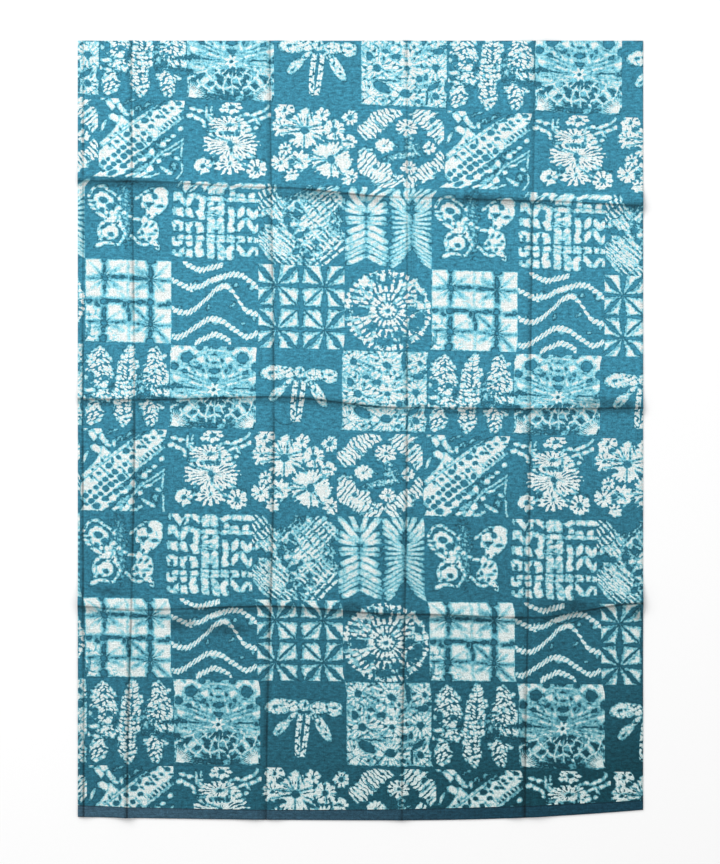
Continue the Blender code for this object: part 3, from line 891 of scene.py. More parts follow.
class FeatherBlock(ChartedBlock):
    """Three upright feathers made of small dabs set in arrow rows."""

    wobble = 0.012
    # The feathers' outlines, each with the part above and the part below the smeared middle.
    outlines = (
        (18, 75, 12.5, 21, 0), (18, 66, 16, 18, 0), (10, 20, 8, 15, -14), (18, 19, 6, 8, 0),
        (53, 86, 7, 14, -8), (50, 66, 12, 22, 0), (48, 46, 13, 16, 0), (46, 22, 11, 18, 6),
        (82, 83, 10, 14, 0), (83, 64, 16, 20, 0), (78, 20, 9, 17, 4), (78, 28, 13, 6, 6), (90, 44, 12, 5),
        (24, 40, 14, 7),
    )
    hollows = (
        (8.5, 60, 4, 7.5), (24.5, 59.5, 4.5, 3.6), (13, 48, 5, 1.6), (26, 26, 6, 6), (64, 36, 9, 4),
        (88, 35, 12, 3.6), (72, 66, 4, 2), (91, 51, 5, 2.4), (77, 51, 2, 3), (60, 69, 3, 1.4),
        (55, 56, 2, 2.4), (40, 64, 4, 1.2), (35, 80, 4, 8), (64, 88, 4, 10), (30, 12, 6, 12),
        (62, 14, 5, 14), (38, 6, 4, 4),
    )
    smears = ((24, 38, 14, 6, 6), (40, 42, 8, 10), (66, 52, 8, 12, 10), (90, 44, 12, 5), (52, 50, 14, 10))
    dabs = (
        (27.5, 69.2, 6, 2.8, 6), (8, 45, 6.8, 2.4, -2), (24.5, 51, 3.8, 4), (8.5, 84.5, 4.4, 2.3, -12),
        (7, 79, 4.6, 2.5), (27, 87, 3.4, 2.2, -42), (30.5, 82.5, 3.6, 2, -45), (20, 79.5, 4.8, 1.7, -5),
        (9, 34, 5, 2.4, -10), (9, 24, 5.4, 2.6, 15), (10, 6.5, 3.2, 2.6), (17.5, 9.5, 3.6, 2.2, 20),
        (20, 42, 6, 2.4, 6), (53.5, 96.5, 2.6, 1.8, 40), (55, 92.5, 3, 1.9, 40), (49, 91, 3.8, 1.5, -40),
        (46, 84.5, 3.4, 2.8), (61, 80, 2.7, 2.2), (42, 72, 2.8, 2.2), (62, 74, 2.5, 2.2),
        (57, 66, 3.8, 2.4, 20), (40, 60, 3.4, 2.8), (49, 41, 2.4, 3.2), (37, 31, 3, 3), (52, 15, 3.8, 2.2),
        (44, 11, 3.6, 2.2), (50, 6.5, 2.2, 1.8), (46, 4.5, 2.8, 1.8, -20), (78.5, 87, 3.8, 2.6, -20),
        (93, 87, 3.8, 2.2, 30), (86, 69, 3.8, 2.8), (79, 72, 4.6, 1.7), (94.5, 57, 3.8, 1.9, -15),
        (98, 44, 3.2, 2.6), (66.5, 29.5, 2.8, 2.1), (81.5, 22, 3.2, 2.5), (91, 26.5, 2.8, 1.9, 10),
        (81.5, 10.5, 2.5, 2), (75, 8, 1.9, 2.3), (83, 97, 2.2, 1.6, 40), (0.5, 36, 2.2, 2.6),
        (2.5, 61, 1.5, 2.6), (33.5, 64, 1.7, 2.2), (18.5, 96, 1.8, 1.6), (29, 34, 2.6, 3, 20),
    )

    def draw(self, stencil: Stencil) -> Field:
        """Fill the outlines with dabs, and smear their middles."""
        place = stencil.place
        spine = (place.x - 0.19).folded(0.62)
        rows = place.moved(0.0, spine * 0.42)
        filled = rows.pebbles(0.052, 0.034, 0.80).ramp(0.54, 0.34)
        filled = filled.smaller(stencil.dabs(self.outlines, 0.03))
        filled = filled.without(stencil.dabs(self.hollows, 0.03))
        smear = stencil.dabs(self.smears, 0.12)
        smear = smear.smaller(place.grain(12.0, 2.0, 0.7).ramp(0.34, 0.56)) * 0.52
        return filled.larger(smear).larger(stencil.dabs(self.dabs))


class RosetteBlock(ChartedBlock):
    """A blurred rosette, the same on both sides: rays and hollows round a flower, and rayed corners."""

    wobble = 0.016
    ragged = 0.009
    bite = 0.6
    middle = 0.488
    # One side of the rosette, as seen from its upright middle line.
    whites = (
        (38, 89, 16, 12.5, -8), (18.5, 88, 14, 3.8, 48), (5, 93.6, 11, 2, -8), (0, 85, 11.5, 3.2),
        (12.5, 79.5, 6.4, 3.2, 50), (7.6, 76.4, 4, 1.7, -34), (0, 65.8, 9, 1.3), (9.6, 66, 1.8, 5, 14),
        (27.5, 69.5, 19, 3.8, 25), (21, 63.2, 14, 2.2, 21), (28, 57, 20, 4.2, 12), (28, 43.6, 20.5, 4.2, -5),
        (13, 52.4, 8, 2, 10), (40, 62, 9, 3, 10), (13, 44.6, 8, 1.4, -20), (33, 38.6, 8, 2, -16),
        (24, 30, 5, 2.6, 36), (30, 26, 5, 2, -40),
    )
    hollows = (
        (31, 86.6, 7.6, 7.8), (17, 99, 4.6, 4.4), (0, 100, 6.4, 3.6), (0, 89.6, 8.6, 1.5),
        (0, 80.4, 5.6, 1.9), (8.6, 83.4, 1.7, 4, -8), (0, 71, 8, 4.2), (0, 60.6, 6.6, 3.6),
        (17.4, 76, 3, 3.6, 20), (12, 71, 2.4, 3.4), (34, 69.6, 5.6, 3, 22), (24.5, 65.6, 15, 1.1, 24),
        (25, 60.4, 17, 1.1, 18), (29, 50.6, 19.5, 1.7, 2), (17, 47.6, 10, 0.9, -14), (45, 76, 5, 5.6),
        (48, 51, 5, 3), (36, 57.4, 3, 1.4, 10), (39, 44, 4, 1.2, -6), (25, 53.6, 5, 0.9, 8),
        (29, 78, 6, 1.4, -24), (33, 33.6, 4.6, 3.6),
    )

    def draw(self, stencil: Stencil) -> Field:
        """Draw the rays with their hollows, the flower, the net below it and the rayed corners."""
        place = stencil.place.around(0.014, 0.0, 0.0, 1.04, 1.0)
        cloud = place.grain(9.0, 2.0, 0.65)
        mirrored = place.mirrored(self.middle)
        half = Stencil(mirrored)
        upper = place.y.ramp(0.38, 0.44)
        below = cloud.ramp(0.42, 0.66).scaled(0.34, 0.10)
        haze = upper.blend(below, cloud.ramp(0.36, 0.56).scaled(0.46, 0.14))
        around = mirrored.around(0.0, 0.49)
        lumps = around.polar(25.0, 0.075).pebbles(1.0, 1.0, 0.85).ramp(0.66, 0.38)
        patchy = lumps.scaled(0.66, 0.40).larger(cloud.ramp(0.56, 0.70))
        white = half.dabs(self.whites, 0.05, swell=1.0).smaller(patchy)
        lobes = around.polar(11.0, 0.15).pebbles(1.0, 1.0, 0.75, True).ramp(0.42, 0.14).scaled(0.62, 0.44)
        tone = white.larger(haze).smaller(lobes.larger(place.y.ramp(0.72, 0.86)))
        tone = tone.smaller(half.dabs(self.hollows, 0.045).inverse())
        web = around.polar(21.0, 0.118).pebbles(1.0, 1.0, 0.45, True)
        web = web.ramp(0.24, 0.05).without(upper).smaller(cloud.ramp(0.34, 0.44))
        web = web.smaller(place.y.ramp(0.07, 0.12))
        tone = tone.larger(web * 0.82).smaller(place.y.ramp(0.025, 0.045)).smaller(place.x.ramp(-0.02, 0.0))
        centred = place.around(0.475, 0.485)
        petals = centred.turns().wave(7.0).scaled(0.020, 0.075) - centred.distance()
        tone = tone.larger(petals.ramp(-0.022, 0.026).smaller(centred.distance().ramp(0.018, 0.034)))
        for x, side in ((0.0, 1.0), (0.93, -1.0)):
            local = place.around(x, 0.045)
            reach = local.distance()
            fan = local.turns().wave(52.0).ramp(-0.7, 0.3).larger(reach.ramp(0.13, 0.09))
            fan = fan.smaller(reach.ramp(0.25, 0.12)).smaller((local.x * side).ramp(-0.01, 0.01))
            tone = tone.larger(fan.smaller(local.y.ramp(-0.01, 0.01)))
        return tone


class DragonflyBlock(ChartedBlock):
    """A dragonfly with two level wings, two slanted ones and a long tail of beads."""

    wobble = 0.007
    wings = (
        (17, 70.5, 16.6, 8.8, 3), (33, 71, 10, 6.8, -6), (66, 69.4, 12, 6.8, 0), (84, 68, 11, 8.4, -6),
        (20, 46, 12, 5.6, 42), (32, 58, 9, 3, 44), (70.5, 46, 16.5, 6.6, -57), (60, 59, 5.4, 3, -50),
        (48, 72, 6.4, 6.6),
    )
    # The parts that came out solid white.
    solids = (
        (14, 70.5, 12, 7.6), (85, 68, 9, 7.4, -6), (19, 45, 10, 4.6, 42), (74, 41, 10, 5.6, -60),
        (48, 76, 5, 2.4),
    )
    holes = (
        (12.4, 70, 3.2, 1.9, 12), (19, 71.6, 1.8, 0.9, -20), (20, 62, 1.6, 1.6), (84, 69.4, 3.4, 1.1, 0),
        (76, 70, 1, 3, 10), (16.8, 42, 4, 1.6, 40), (66, 50, 1.6, 2.6, -20), (74.6, 38.6, 2.6, 1.4),
        (93, 66, 2, 1), (49, 72.4, 1.2, 3),
    )
    # The tail's two strings of beads: where each one's middle is, how far it leans and how it bows.
    strings = ((0.400, 0.05, 0.30), (0.496, 0.15, -0.15))

    def draw(self, stencil: Stencil) -> Field:
        """Draw the beaded wings and the tail's two strings of beads."""
        place = stencil.place.around(0.055, 0.0, 0.0, 0.95, 1.0)
        stencil = Stencil(place)
        beads = place.pebbles(0.038, 0.038, 0.85)
        fine = beads.ramp(0.60, 0.40)
        solid = stencil.dabs(self.solids, 0.06).smaller(place.grain(13.0, 1.0).ramp(0.30, 0.40))
        wings = stencil.dabs(self.wings, 0.03).smaller(fine.scaled(0.62, 0.34).larger(solid))
        height = place.y - 0.34
        lines = []
        for centre, lean, bow in self.strings:
            side = place.x - (height.scaled(lean, centre) + height * height * bow)
            lines.append(side.within(0.032, 0.008).smaller(beads.ramp(0.62, 0.36).scaled(0.85, 0.15)))
        tail = largest(lines).smaller(place.y.ramp(0.64, 0.60)).smaller(place.y.ramp(0.115, 0.135))
        return wings.larger(tail).without(stencil.dabs(self.holes, 0.026))


class TiedPatchBlock(ChartedBlock):
    """A square packed with tied circles whose rays run into each other."""

    wobble = 0.012
    ragged = 0.009
    hole_edge = 0.030
    # Each circle's centre, radius and number of rays.
    circles = (
        (0.14, 0.86, 0.15, 15), (0.53, 0.82, 0.20, 17), (0.90, 0.86, 0.13, 11), (0.19, 0.48, 0.19, 19),
        (0.52, 0.49, 0.19, 16), (0.86, 0.51, 0.18, 16), (0.51, 0.18, 0.20, 19), (0.86, 0.15, 0.14, 13),
        (0.06, 0.15, 0.20, 24),
    )
    holes = (
        (14, 86, 4.4, 4.2), (53, 82.5, 6, 4, -24), (91.5, 85, 3, 3.4), (19, 47.5, 5.4, 4.4, -30),
        (53, 48, 3.6, 3, 20), (86, 50.5, 4.4, 4.8, 30), (51, 18, 6.2, 5.4, -10), (86, 16.5, 4.4, 4.6, 30),
        (24, 25, 12, 6, -30), (72, 88, 3.4, 13, 6), (67, 36, 4.6, 4), (40, 62, 6.6, 3.4, 10),
        (83, 28, 10, 3.4, 36), (30, 33, 18, 1.4, -3), (89, 70, 9, 4, 10), (10, 61, 4, 6, 20), (28, 68, 4, 3),
        (31, 82, 10, 1.2, -24), (36, 78, 10, 1, -20), (66, 68, 8, 1.2, 42), (75, 38, 3, 5), (70, 51, 8, 1.2),
        (62, 22, 3, 2), (17, 73, 5, 1.2, -40), (30, 44, 6, 1, -20), (76, 14, 1.6, 14), (99, 28, 3, 9),
        (36, 8, 9, 1.4, 40), (44, 41, 8, 1, 45), (96, 75, 4, 3), (66, 10, 4, 3), (26, 58, 1.4, 4),
        (61, 73, 2, 3),
    )

    def draw(self, stencil: Stencil) -> Field:
        """Draw the circles' broken rays and the dark folds between them."""
        place = stencil.place
        cloud = place.grain(10.0, 2.0, 0.7)
        circles = []
        for x, y, radius, rays in self.circles:
            local = place.around(x, y, 0.0, radius, radius)
            reach = local.distance()
            ray = local.turns().wave(float(rays)) + (cloud - 0.5) * 3.0
            drawn = (ray + reach.ramp(0.75, 0.35) * 0.9).ramp(-0.50, 0.15)
            circles.append(drawn.smaller((reach + cloud * 0.5).ramp(1.46, 1.30)))
        dashes = place.around(0.0, 0.0, 30.0).pebbles(0.070, 0.040, 0.8).ramp(0.66, 0.48)
        veil = cloud.ramp(0.36, 0.60).scaled(0.34, 0.20).larger(dashes * 0.6)
        tone = largest(circles).smaller(dashes.scaled(0.65, 0.35)).larger(veil)
        tone = tone.without(stencil.dabs(self.holes, self.hole_edge))
        return tone.smaller(stencil.bar(0.495, 0.515, 0.49, 0.475))


class LadderBlock(ChartedBlock):
    """A slanted band with rows of dark dots and slits, thin lines beside it and a loose chain above."""

    wobble = 0.008
    ragged = 0.006
    hole_edge = 0.026
    # How many of the holes, which come first in their chart, are cut again and a little larger.
    band_holes = 24
    strokes = (
        (34, 43, 42, 16, 39.5), (79, 85, 33, 10, 38), (42, 72, 29, 2, 37), (72, 78, 33, 1.7, 37.5),
        (44, 33, 34, 2, 41), (82, 66, 23, 1.6, 40), (84, 41.5, 19, 1.4, 36), (86, 37, 14, 1.2, 36),
        (66, 27, 9, 1.7, 52), (23, 63, 13, 4, 58), (12, 50, 12, 3.4, 44), (96.6, 38, 1.3, 8),
        (97.4, 12, 1.4, 10), (14, 92, 7, 3.6, -50), (27, 88, 7, 3.4, -50), (29, 72, 7, 4.6, -40),
        (6.5, 66, 1.9, 6, -24), (79, 12.5, 7, 2.2, -26),
    )
    dabs = (
        (4.5, 100, 3, 2.9), (19, 98, 5.6, 4.1, -42), (33, 81, 5, 2.2, -12), (40, 83, 2.4, 3.8),
        (19, 76, 7, 4.8, -30), (17, 7, 17, 8.4, 22), (30, 12, 8, 6, 35), (40, 18.5, 7, 4.8, 35),
        (49, 27, 6, 4.1, 40), (42, 6, 6, 2.6, 20), (54, 6, 8, 3.6, 35), (53, 26, 4.2, 3.8, 30),
        (62, 35, 3.4, 5.3, 20), (60, 14, 4, 6, -20), (75, 45, 4.4, 3.8, 30), (81, 50, 3.6, 1.9, 20),
        (87, 56, 3.4, 2.2, 20), (95.5, 65.5, 3.4, 2.9, 45), (70, 24, 3.2, 3.1), (80, 33, 5.4, 1.9, 20),
        (91, 28.5, 4, 2.2, -20), (70, 7, 3.6, 2.2, 20), (84, 9, 4, 1.9, -20), (63, 4, 4, 1.9),
        (94, 100, 4, 1.9),
    )
    holes = (
        (6.5, 20, 3.2, 3), (13, 13.5, 3.4, 2.8), (19, 7.4, 4.4, 3.2), (8, 10, 1.6, 1.4), (12, 24.6, 2, 1.8),
        (18.5, 18.5, 2.8, 2.6), (30, 16.5, 3.8, 3.2), (37, 9, 3.4, 2.6), (24, 22.5, 2.6, 2.2),
        (18.6, 29.4, 2.6, 2.4), (35, 22, 2.6, 1.6, 40), (30, 28.5, 3.4, 3.2), (24, 34.4, 2.6, 2.6),
        (42, 25.5, 3.4, 3), (36.8, 33.4, 3.4, 2.8), (30, 39.4, 3, 2.8), (48.4, 29, 2.8, 2),
        (42, 37.6, 2.8, 2, 20), (36, 43.6, 2.8, 2), (54.6, 35.4, 3.2, 2.8), (48.4, 42, 4.4, 4),
        (41, 48.6, 3, 2.8), (22, 46.4, 2.4, 1.8, -30), (34, 56, 3.8, 3), (45.4, 66, 3.2, 2.8),
        (54.4, 74, 4.2, 3.6), (59.4, 50.6, 3.2, 4.2), (53, 58, 3.2, 2.8), (61, 66.5, 3, 2.8),
        (20.6, 57, 1.4, 1.2), (15.4, 51, 1.4, 1.2), (17, 41, 4, 0.9, -40), (29, 50, 7, 0.9, -42),
        (51, 50.6, 4.4, 0.9, -42), (46.6, 54, 1.8, 1.2), (54, 46, 4.6, 0.8, -42), (76.6, 96, 3.8, 2.6),
        (85.4, 90.4, 3, 2), (92, 96.6, 3.4, 2.4), (75.4, 79.4, 3, 1.8, -20), (80.4, 84.6, 2.6, 1.6),
        (69.4, 90, 3.4, 2.4), (98, 90, 3, 1), (60, 82, 2.4, 3.4), (69, 79, 2.8, 2.2), (46, 17, 3.4, 2.4, 30),
        (52, 10.5, 2.6, 1.6, 30), (63, 74.5, 2.4, 1.6, -40), (77, 88, 2.4, 1.8), (60, 58, 4.4, 0.9, -48),
        (66, 65, 3.6, 0.9, -48), (64, 88, 2.2, 1.6), (73, 84.5, 3.4, 0.9, -48), (88, 98, 3, 0.9, -48),
        (38, 62.5, 1.8, 4.4, 10), (26, 62.5, 1.6, 2.6, 20), (13, 42, 3.6, 1, -44),
    )
    pale = (
        (48.5, 89, 4, 2, 20), (56, 93, 5, 1.8, 40), (38, 99, 5, 1.6, 30), (72, 67, 9, 3, 38),
        (60, 34, 5, 8, -50), (88, 18, 4, 5), (75, 47, 8, 4, 38), (52, 12, 14, 6, 38), (40, 24, 14, 6, 40),
        (86, 85, 16, 6, 38),
    )

    def draw(self, stencil: Stencil) -> Field:
        """Draw the charts, with a comb of short slits between the two lines on the right."""
        local = stencil.place.around(0.76, 0.70, 39.0)
        comb = stencil.stripes(local.x, 0.050, 0.50, 0.012).smaller(local.y.size().ramp(0.060, 0.046))
        comb = comb.smaller(local.x.size().ramp(0.24, 0.19)) * 0.82
        tone = super().draw(stencil).larger(comb)
        tone = tone.without(stencil.dabs(self.holes[:self.band_holes], 0.026, swell=0.5))
        return tone.smaller(stencil.bar(0.5, 0.515, 0.492, 0.492, edge=0.02))


class TurtleBlock(ChartedBlock):
    """A rayed body under a smaller one, with a small head, two raised arms and two tied feet."""

    wobble = 0.011
    ragged = 0.009
    blooms = (
        Bloom(0.535, 0.475, 0.300, 25, 0.13, 0.75, 0.68), Bloom(0.520, 0.720, 0.215, 16, 0.16, 0.80, 0.52),
        Bloom(0.530, 0.235, 0.170, 12, 0.10, 0.85, 0.76), Bloom(0.540, 0.945, 0.115, 8, 0.36, 0.45, 0.70),
        Bloom(0.215, 0.200, 0.100, 8, 0.28, 0.50), Bloom(0.835, 0.180, 0.120, 9, 0.28, 0.60),
    )
    dabs = (
        (10, 90.5, 4.6, 2.5, -15), (18, 88, 4.6, 2.8, -8), (25.5, 86, 1.8, 6.4, 8),
        (30.5, 90, 1.5, 3.6, -10), (30, 84.5, 3, 1.5), (7, 82.5, 5, 3.1, 8), (14, 79.6, 5.4, 2.8, -28),
        (21, 75.2, 4.6, 2.8, -38), (22.5, 69.5, 3, 2.3, -30), (30, 80, 4.6, 1.8, -38), (31, 75, 3.8, 2, -36),
        (72, 86, 4.6, 2.5, 10), (80, 86, 4.4, 2.8, 15), (87, 88.6, 5, 2.8, 30), (94, 94, 2.2, 4.3, -20),
        (78, 78.5, 5, 2.3, 20), (83, 79, 1.8, 5.6, 40), (89.5, 82, 5, 2.5, 24), (98.5, 86, 4, 3.1, 22),
        (70, 75, 4, 3.1, 10), (73, 67, 5.6, 3.3, 22), (77, 60.6, 4.4, 2.3, 38), (83, 69.5, 3, 2, 20),
        (63, 82, 4.4, 1.9, 48), (43, 90, 3.4, 3.1),
    )
    holes = (
        (53, 48.5, 3.2, 4.6, 16), (51, 62, 7, 2.4), (61, 62, 3, 3), (37, 31.5, 4.6, 2.6, -56),
        (53, 72.5, 4, 1.4), (47, 53, 8, 0.8, -22), (31, 57, 7, 0.8, -12), (53, 25, 1.8, 1.6),
        (64, 27, 6, 0.9, -38), (43, 62.6, 2, 1), (54, 41, 1.2, 4), (63, 72, 1, 5),
    )
    pale = (
        (30, 22, 4, 6, -40), (76, 36, 6, 7, 30), (64, 33, 5, 3), (33, 64, 5, 3), (40, 68, 6, 2),
        (90, 27, 3, 3),
    )

    def draw(self, stencil: Stencil) -> Field:
        """Draw the tied circles under the arms' dabs, and the hollows in them."""
        tone = super().draw(stencil).larger(stencil.blooms(self.blooms))
        return tone.without(stencil.dabs(self.holes, self.hole_edge))


class BlossomBlock(ChartedBlock):
    """Two large tied blossoms among smaller ones on plain ground."""

    wobble = 0.010
    ragged = 0.009
    hole_edge = 0.026
    blooms = (
        Bloom(0.390, 0.690, 0.215, 26, 0.24, 0.35), Bloom(0.695, 0.335, 0.225, 26, 0.22, 0.30),
        Bloom(0.150, 0.930, 0.110, 8, 0.20, 0.50, 1.15), Bloom(0.120, 0.715, 0.105, 9, 0.20, 0.50, 1.05),
        Bloom(0.590, 0.890, 0.085, 7, 0.22, 0.50), Bloom(0.730, 0.705, 0.128, 9, 0.27, 0.55),
        Bloom(0.915, 0.870, 0.090, 10, 0.38, 0.30), Bloom(0.905, 0.565, 0.088, 7, 0.18, 0.60),
        Bloom(0.170, 0.450, 0.078, 8, 0.28, 0.40), Bloom(0.110, 0.270, 0.108, 11, 0.18, 0.45),
        Bloom(0.335, 0.310, 0.118, 9, 0.12, 0.50), Bloom(0.250, 0.125, 0.080, 7, 0.24, 0.55),
        Bloom(0.935, 0.120, 0.094, 9, 0.20, 0.55),
    )
    dabs = (
        (31, 60, 7.6, 8, 20), (47.5, 61.5, 6, 8.4, -14), (50.5, 79, 6, 5.4, 20), (62, 45, 12, 6.6, 28),
        (85, 29.5, 8, 7.6, 20), (62.5, 20, 8, 6, -30), (55, 40, 5, 5), (74, 15.5, 5, 4), (39, 92, 5.4, 4.6),
        (38, 34, 6, 5), (26, 9, 5, 3.6), (41, 25, 4, 1.2, 20), (84, 45, 5, 1.6, 20), (85, 20, 6, 1.6, -36),
    )
    holes = (
        (39, 68.5, 4.8, 4.4, 40), (69.5, 33, 4.8, 4.4, 30), (38.6, 57, 0.8, 8), (42, 80, 1, 8, -6),
        (47, 73, 8, 0.8, 22), (27, 72.5, 12, 0.9, -6), (26, 66.5, 12, 1, 12), (28, 79, 8, 0.8, -34),
        (33, 82, 0.9, 9, 22), (46.5, 87, 1, 5, 20), (56, 56, 8, 2.6, -30), (55, 64, 5, 0.8, -24),
        (80, 43, 9, 1.7, 40), (78, 21, 11, 1, -50), (55, 32.5, 9, 0.9, -2), (57, 27, 9, 1.6, 30),
        (69.6, 20, 0.7, 9), (54, 37, 7, 0.8, -16), (23.5, 29, 4, 3, 40), (30, 31, 6, 1, -40),
        (27, 26, 4, 0.9, 30), (49, 49, 2.4, 2), (22, 85, 3, 3), (23, 60, 5, 3), (85, 70, 3, 0.9, 10),
        (73, 79, 0.8, 4), (74, 62, 0.8, 5), (89, 57, 3, 1.6, -20),
    )

    def draw(self, stencil: Stencil) -> Field:
        """Draw the blossoms, with the gaps that part the large ones' petals."""
        tone = stencil.blooms(self.blooms).larger(stencil.dabs(self.dabs))
        return tone.without(stencil.dabs(self.holes, self.hole_edge))


class DiamondBlock(Block):
    """A diamond frame of cross strokes with four small tied circles inside."""

    wobble = 0.012
    ragged = 0.008
    # Each side of the frame: its centre, its half length and half width, its turn, and its strokes' pitch.
    sides = (
        (0.240, 0.835, 0.270, 0.110, 42.0, 0.046), (0.835, 0.825, 0.250, 0.110, -45.0, 0.054),
        (0.250, 0.195, 0.300, 0.125, -38.0, 0.050), (0.820, 0.215, 0.285, 0.095, 42.0, 0.048),
    )
    # Where the strokes have run together.
    solid = (
        (13, 74, 7, 6, 42), (27, 90, 5, 2.4, -45), (24, 18, 11, 6, -38), (92, 78, 7, 5, -45),
        (82, 94, 8, 4, -45), (83, 15, 9, 5, 42), (98, 70, 3, 6), (36, 6, 7, 3),
    )
    gaps = (
        (86, 87, 3, 5, -35), (92, 66.5, 2, 1.6), (88, 78, 7, 1.4, 42), (25, 79, 1.2, 5, 42), (42, 100, 3, 1),
        (60, 97, 4, 3), (88, 25, 5, 1.6, -40), (20, 26, 3, 2), (43, 12, 5, 1, -38), (31, 5, 6, 1.2, 20),
        (3, 60, 3, 2), (72, 8, 3, 3), (96, 35, 4, 1, -40),
    )
    # The stray strokes, and where the chain of specks runs.
    tail = (
        (40, 55.5, 4.5, 1.4, -28), (15, 47.5, 2.6, 1.2), (4, 38, 2, 6, 20), (4, 46, 5, 1.2, 40),
        (8, 24, 1.2, 6, -30),
    )
    chain = (
        (60, 62, 4, 10, 20), (64, 52, 8, 4, 10), (50, 40, 16, 4, 14), (62, 43, 12, 4, 10), (35, 29, 3, 3),
    )
    blooms = (
        Bloom(0.570, 0.765, 0.125, 11, 0.16, 0.75, 0.80), Bloom(0.310, 0.530, 0.105, 11, 0.12, 0.25, 0.86),
        Bloom(0.830, 0.520, 0.074, 8, 0.28, 0.45), Bloom(0.595, 0.260, 0.088, 10, 0.20, 0.60, 0.94),
    )

    def draw(self, stencil: Stencil) -> Field:
        """Draw the four sides, the circles and the chain of specks between them."""
        place = stencil.place
        cloud = place.grain(9.0, 2.0, 0.7)
        solid = stencil.dabs(self.solid, 0.08) * cloud.ramp(0.34, 0.50)
        sides = []
        for x, y, long, wide, turn, pitch in self.sides:
            local = place.around(x, y, turn)
            ends = local.y.size() + cloud.scaled(0.16, -0.08)
            strokes = (local.x + cloud * 0.05).folded(pitch).ramp(pitch * 0.45, pitch * 0.28)
            side = strokes.larger(solid).smaller(ends.ramp(wide + 0.014, wide - 0.014))
            sides.append(side.smaller(local.x.within(long, 0.012)))
        tone = largest(sides).without(stencil.dabs(self.gaps))
        tail = stencil.dabs(self.tail)
        pebbled = place.pebbles(0.042, 0.036, 0.9).ramp(0.62, 0.40)
        specks = stencil.dabs(self.chain, 0.05).smaller(pebbled) * 0.72
        return tone.larger(stencil.blooms(self.blooms)).larger(tail).larger(specks)


class Motif(Enum):
    """The sixteen blocks, row by row and from left to right in each row, and the plain selvedge."""

    BUTTERFLY = ButterflyBlock()
    ARROWS = ArrowGridBlock()
    CROSS_WEAVE = CrossWeaveBlock()
    FERN = FernBlock()
    WINDOWS = WindowBlock()
    WAVES = WaveBlock()
    STARS = StarGridBlock()
    WHEEL = WheelBlock()
    FEATHERS = FeatherBlock()
    ROSETTE = RosetteBlock()
    DRAGONFLY = DragonflyBlock()
    TIED_PATCH = TiedPatchBlock()
    LADDERS = LadderBlock()
    TURTLE = TurtleBlock()
    BLOSSOMS = BlossomBlock()
    DIAMOND = DiamondBlock()
    SELVEDGE = None


# The selvedge's place among the materials, after the sixteen blocks.
SELVEDGE_INDEX = len(Motif) - 1
# The repeat has four rows of four blocks.
REPEAT_COLUMNS = 4
PRINT_MAP = "print"
BAKE_MAP = "OFBake"
UPRIGHT_COUNT = "upright_creases"
LEVEL_COUNT = "level_creases"
# A crease's painted shade and its bump spread over this width of cloth.
CREASE_SPAN = 0.040
WHITE = (1.0, 1.0, 1.0)


